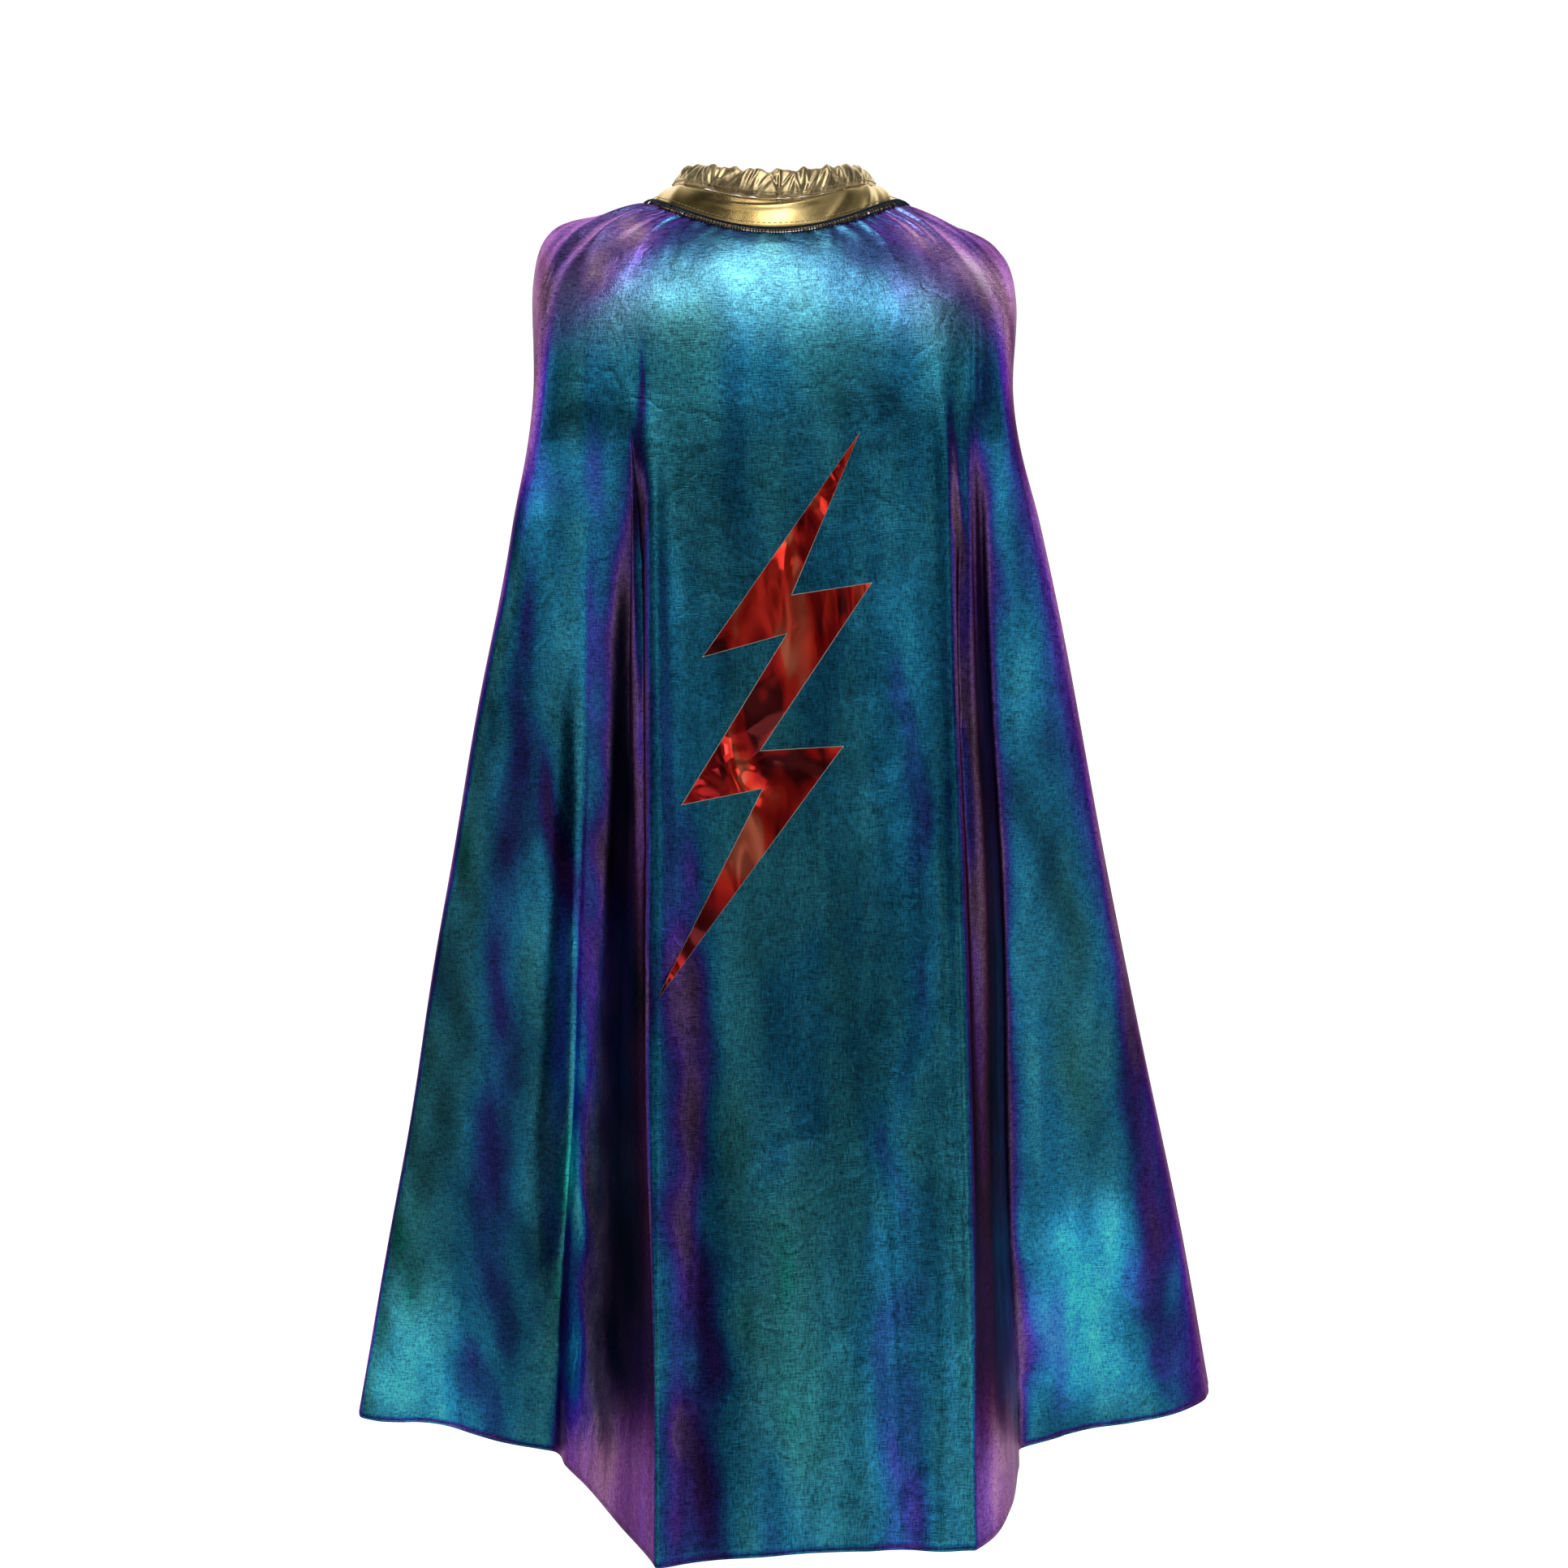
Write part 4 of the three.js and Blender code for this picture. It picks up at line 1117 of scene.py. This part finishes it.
def tab_piece():
    """The tab: a rounded, turned strip of the gold cloth, padded at its edge."""
    angles = np.linspace(TAB_FREE, TAB_ROOT, 110)
    share = np.linspace(0, 1, 26)
    angle, part = np.meshgrid(angles, share)
    round_end = np.sqrt(np.clip(1 - (1 - np.clip((angle - TAB_FREE) / 7, 0, 1)) ** 2, 0, 1))
    half = (TAB_HIGH - TAB_LOW) / 2 * (0.55 + 0.45 * round_end)
    height = (TAB_LOW + TAB_HIGH) / 2 + (part * 2 - 1) * half
    arch = np.sin(part * math.pi)
    plump = 0.35 * arch**0.4 + 0.12 * np.sin(angle * 0.9) * arch
    plump = plump * smooth(0, 6, TAB_ROOT - angle)
    outer = collar(angle, height, TAB_SKIN + TAB_CLIMB * tab_lift(angle) + plump)
    inner = collar(angle, height, 0.4 + 3.6 * tab_lift(angle))
    piece = plate("throat_tab", outer, inner, GOLD)
    fix_normals(piece)
    claim(piece, "closure_tab", "closure")


tab_piece()


def fuzzy(seed, rise):
    """A random height at every point, for the tapes' hooks and loops."""
    pick = np.random.default_rng(seed)
    return lambda a, h: rise * pick.random(np.shape(a))


loop_fuzz, hook_fuzz = fuzzy(21, 0.35), fuzzy(22, 0.3)
band("loop_tape", np.linspace(TAB_FREE, COLLAR_END - 3, 90), np.linspace(0.2, 0.8, 34),
     lambda a, h: 2.1 + loop_fuzz(a, h), lambda a, h: 1.7,
     TAPE, "loop_patch")
band("hook_tape", np.linspace(TAB_FREE + 2, COLLAR_END - 6, 90), np.linspace(0.2, 0.8, 34),
     lambda a, h: 3.7, lambda a, h: 3.3 - hook_fuzz(a, h),
     TAPE, "hook_patch", "closure")


def box_stitch_runs():
    low, high, first, last = 0.26, 0.74, 146, 165
    sides_of_box = [
        (np.linspace(first, last, 90), np.full(90, low)),
        (np.full(60, last), np.linspace(low, high, 60)),
        (np.linspace(last, first, 90), np.full(90, high)),
        (np.full(60, first), np.linspace(high, low, 60)),
    ]
    runs = []
    for angles, heights in sides_of_box:
        skin = TAB_SKIN + TAB_CLIMB * tab_lift(angles) + 0.5
        base = collar(angles, heights, skin)
        above = collar(angles, heights, skin + 1)
        runs += stitch_runs(np.stack([base, above - base], axis=1), 2.0, 0.6)
    return runs


thread_piece("tab_box_stitches", box_stitch_runs(), 0.2, GOLD_THREAD, "tab_stitching",
             body="closure")


def label_piece():
    """A blank label and the stitches along its top edge, where the design's label is."""
    low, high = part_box("care_label")
    wide, tall = 40, 30
    share_x, share_z = np.meshgrid(np.linspace(0, 1, wide), np.linspace(0, 1, tall))
    x = (low[0] + (high[0] - low[0]) * share_x) / MM
    z = (high[2] + (low[2] - high[2]) * share_z) / MM
    curl = 1.6 * share_z**2 + 0.5 * np.sin(share_x * math.pi * 2 + 0.6) * share_z
    y = low[1] / MM + curl
    outer = np.stack([x, y, z], axis=-1)
    inner = np.stack([x, y + 0.4, z], axis=-1)
    piece = plate("blank_label", outer, inner, LABEL)
    fix_normals(piece)
    claim(piece, "care_label")
    ends = np.linspace(x.min() + 1.5, x.max() - 1.5, 200)
    base = np.stack([ends, np.full(200, y.min() + 0.7), np.full(200, z.max() - 2)], axis=1)
    path = np.stack([base, np.tile([0, 1.0, 0], (200, 1))], axis=1)
    thread_piece("label_stitches", stitch_runs(path, 1.9, 0.7), 0.2, GOLD_THREAD,
                 "label_stitching")


label_piece()

# ---- studio ----


def pale_paper():
    """Matt white paper with a painted glow, standing in for light through it behind the cape and,
    less, in front of it; to mirrored rays the glow grows with height.
    """
    n = Nodes(bpy.data.materials.new("pale_paper"))
    place = n.add("ShaderNodeSeparateXYZ")
    n.link(n.coordinates, place.inputs[0])
    n.shader.inputs["Emission Color"].default_value = (1, 1, 1, 1)
    behind = n.remap(place.outputs["Y"], 0.35, 0.85, 0, 0.95)
    before = n.remap(place.outputs["Y"], -0.3, -0.8, 0, 0.45)
    seen = n.add("ShaderNodeLightPath").outputs["Is Camera Ray"]
    mirrored = n.remap(place.outputs["Z"], -0.3, 1.4, 0.25, 1.25)
    behind = n.math("MULTIPLY", behind, n.math("MAXIMUM", seen, mirrored))
    n.link(n.math("MAXIMUM", behind, before), n.shader.inputs["Emission Strength"])
    return n.finish((0.86, 0.86, 0.86), n.spread(n.noise(3, 2), 0.7, 0.8))


FLOOR_DROP = 0.22
FLOOR_FRONT, FLOOR_BACK = -1.45, 2.4
SWEEP_RADIUS, SWEEP_STEPS = 1.6, 12
WALL_TOP = 6.0
PAPER_HALF_WIDTH = 8.0


def backdrop():
    """A seamless pale floor that sweeps up behind the cape."""
    floor = cad_box[0][2] - FLOOR_DROP
    profile = [(FLOOR_FRONT, 0.0), (FLOOR_BACK, 0.0)]
    for k in range(1, SWEEP_STEPS + 1):
        turn = k / SWEEP_STEPS * math.pi / 2
        away = FLOOR_BACK + SWEEP_RADIUS * math.sin(turn)
        profile.append((away, SWEEP_RADIUS * (1 - math.cos(turn))))
    profile.append((FLOOR_BACK + SWEEP_RADIUS, WALL_TOP))
    sides = (-PAPER_HALF_WIDTH, PAPER_HALF_WIDTH)
    points = [(x, y, floor + z) for y, z in profile for x in sides]
    faces = [[2 * i, 2 * i + 1, 2 * i + 3, 2 * i + 2] for i in range(len(profile) - 1)]
    piece = new_object("backdrop", points, faces, pale_paper())


def soft_light(name, place, aim, width, height, power):
    """A rectangular lamp that shines on the cape but isn't itself seen."""
    light = bpy.data.lights.new(name, "AREA")
    light.shape = "RECTANGLE"
    light.size, light.size_y = width, height
    light.energy = power
    lamp = bpy.data.objects.new(name, light)
    lamp.location = place
    lamp.rotation_euler = (Vector(aim) - Vector(place)).to_track_quat("-Z", "Y").to_euler()
    lamp.visible_camera = False
    bpy.context.scene.collection.objects.link(lamp)


def studio_world():
    """White paper behind the cape and a dim, uneven room for the foil to mirror."""
    world = bpy.data.worlds.new("studio")
    bpy.context.scene.world = world
    n = Nodes(world, "Background", "Generated")
    split = n.add("ShaderNodeSeparateXYZ")
    n.link(n.coordinates, split.inputs[0])
    room = n.remap(n.noise(2.6, 1.0), 0.46, 0.62, 0.01, 0.24)
    paper = n.remap(split.outputs["Y"], 0.1, 0.75, 0, 0.8, interpolation_type="SMOOTHSTEP")
    both = n.math("MAXIMUM", room, paper)
    seen = n.add("ShaderNodeLightPath").outputs["Is Camera Ray"]
    n.link(n.math("MAXIMUM", seen, both), n.shader.inputs["Color"])
    n.shader.inputs["Strength"].default_value = 1.0


CAMERA_DISTANCE = 1.8
CAMERA_DROP = 0.297
FRAME_WIDTH = 0.8694  # seen at the neck's axis


def camera():
    data = bpy.data.cameras.new("camera")
    data.sensor_width = 36
    data.lens = data.sensor_width * CAMERA_DISTANCE / FRAME_WIDTH
    data.clip_end = 50
    eye = bpy.data.objects.new("camera", data)
    eye.location = (0.005, -CAMERA_DISTANCE, -CAMERA_DROP)
    eye.rotation_euler = (math.pi / 2, 0, 0)
    bpy.context.scene.collection.objects.link(eye)
    bpy.context.scene.camera = eye


backdrop()
studio_world()
# Name, place, aim, width, height and watts.
for lamp in (
    ("top_front", (-0.02, -0.75, 0.95), (0, 0, -0.05), 0.36, 0.5, 2.5),
    ("overhead", (0.0, -0.40, 1.2), (0, 0, 0), 0.5, 0.35, 1.7),
    ("broad_front", (0.0, -1.15, 0.75), (0, 0, -0.1), 1.3, 0.6, 2.2),
    ("left_low", (-0.75, -2.5, -0.85), (-0.2, 0, -0.6), 0.7, 0.5, 1.0),
    ("right_low", (1.5, -2.5, -0.8), (0.18, 0, -0.6), 1.0, 0.6, 2.0),
    ("left_side", (-2.2, -0.2, 0.0), (0, 0, -0.35), 0.35, 2.0, 2),
    ("right_side", (2.2, -0.1, 0.0), (0, 0, -0.35), 0.35, 2.0, 2),
):
    soft_light(*lamp)
camera()

bpy.context.scene.view_settings.view_transform = "Standard"
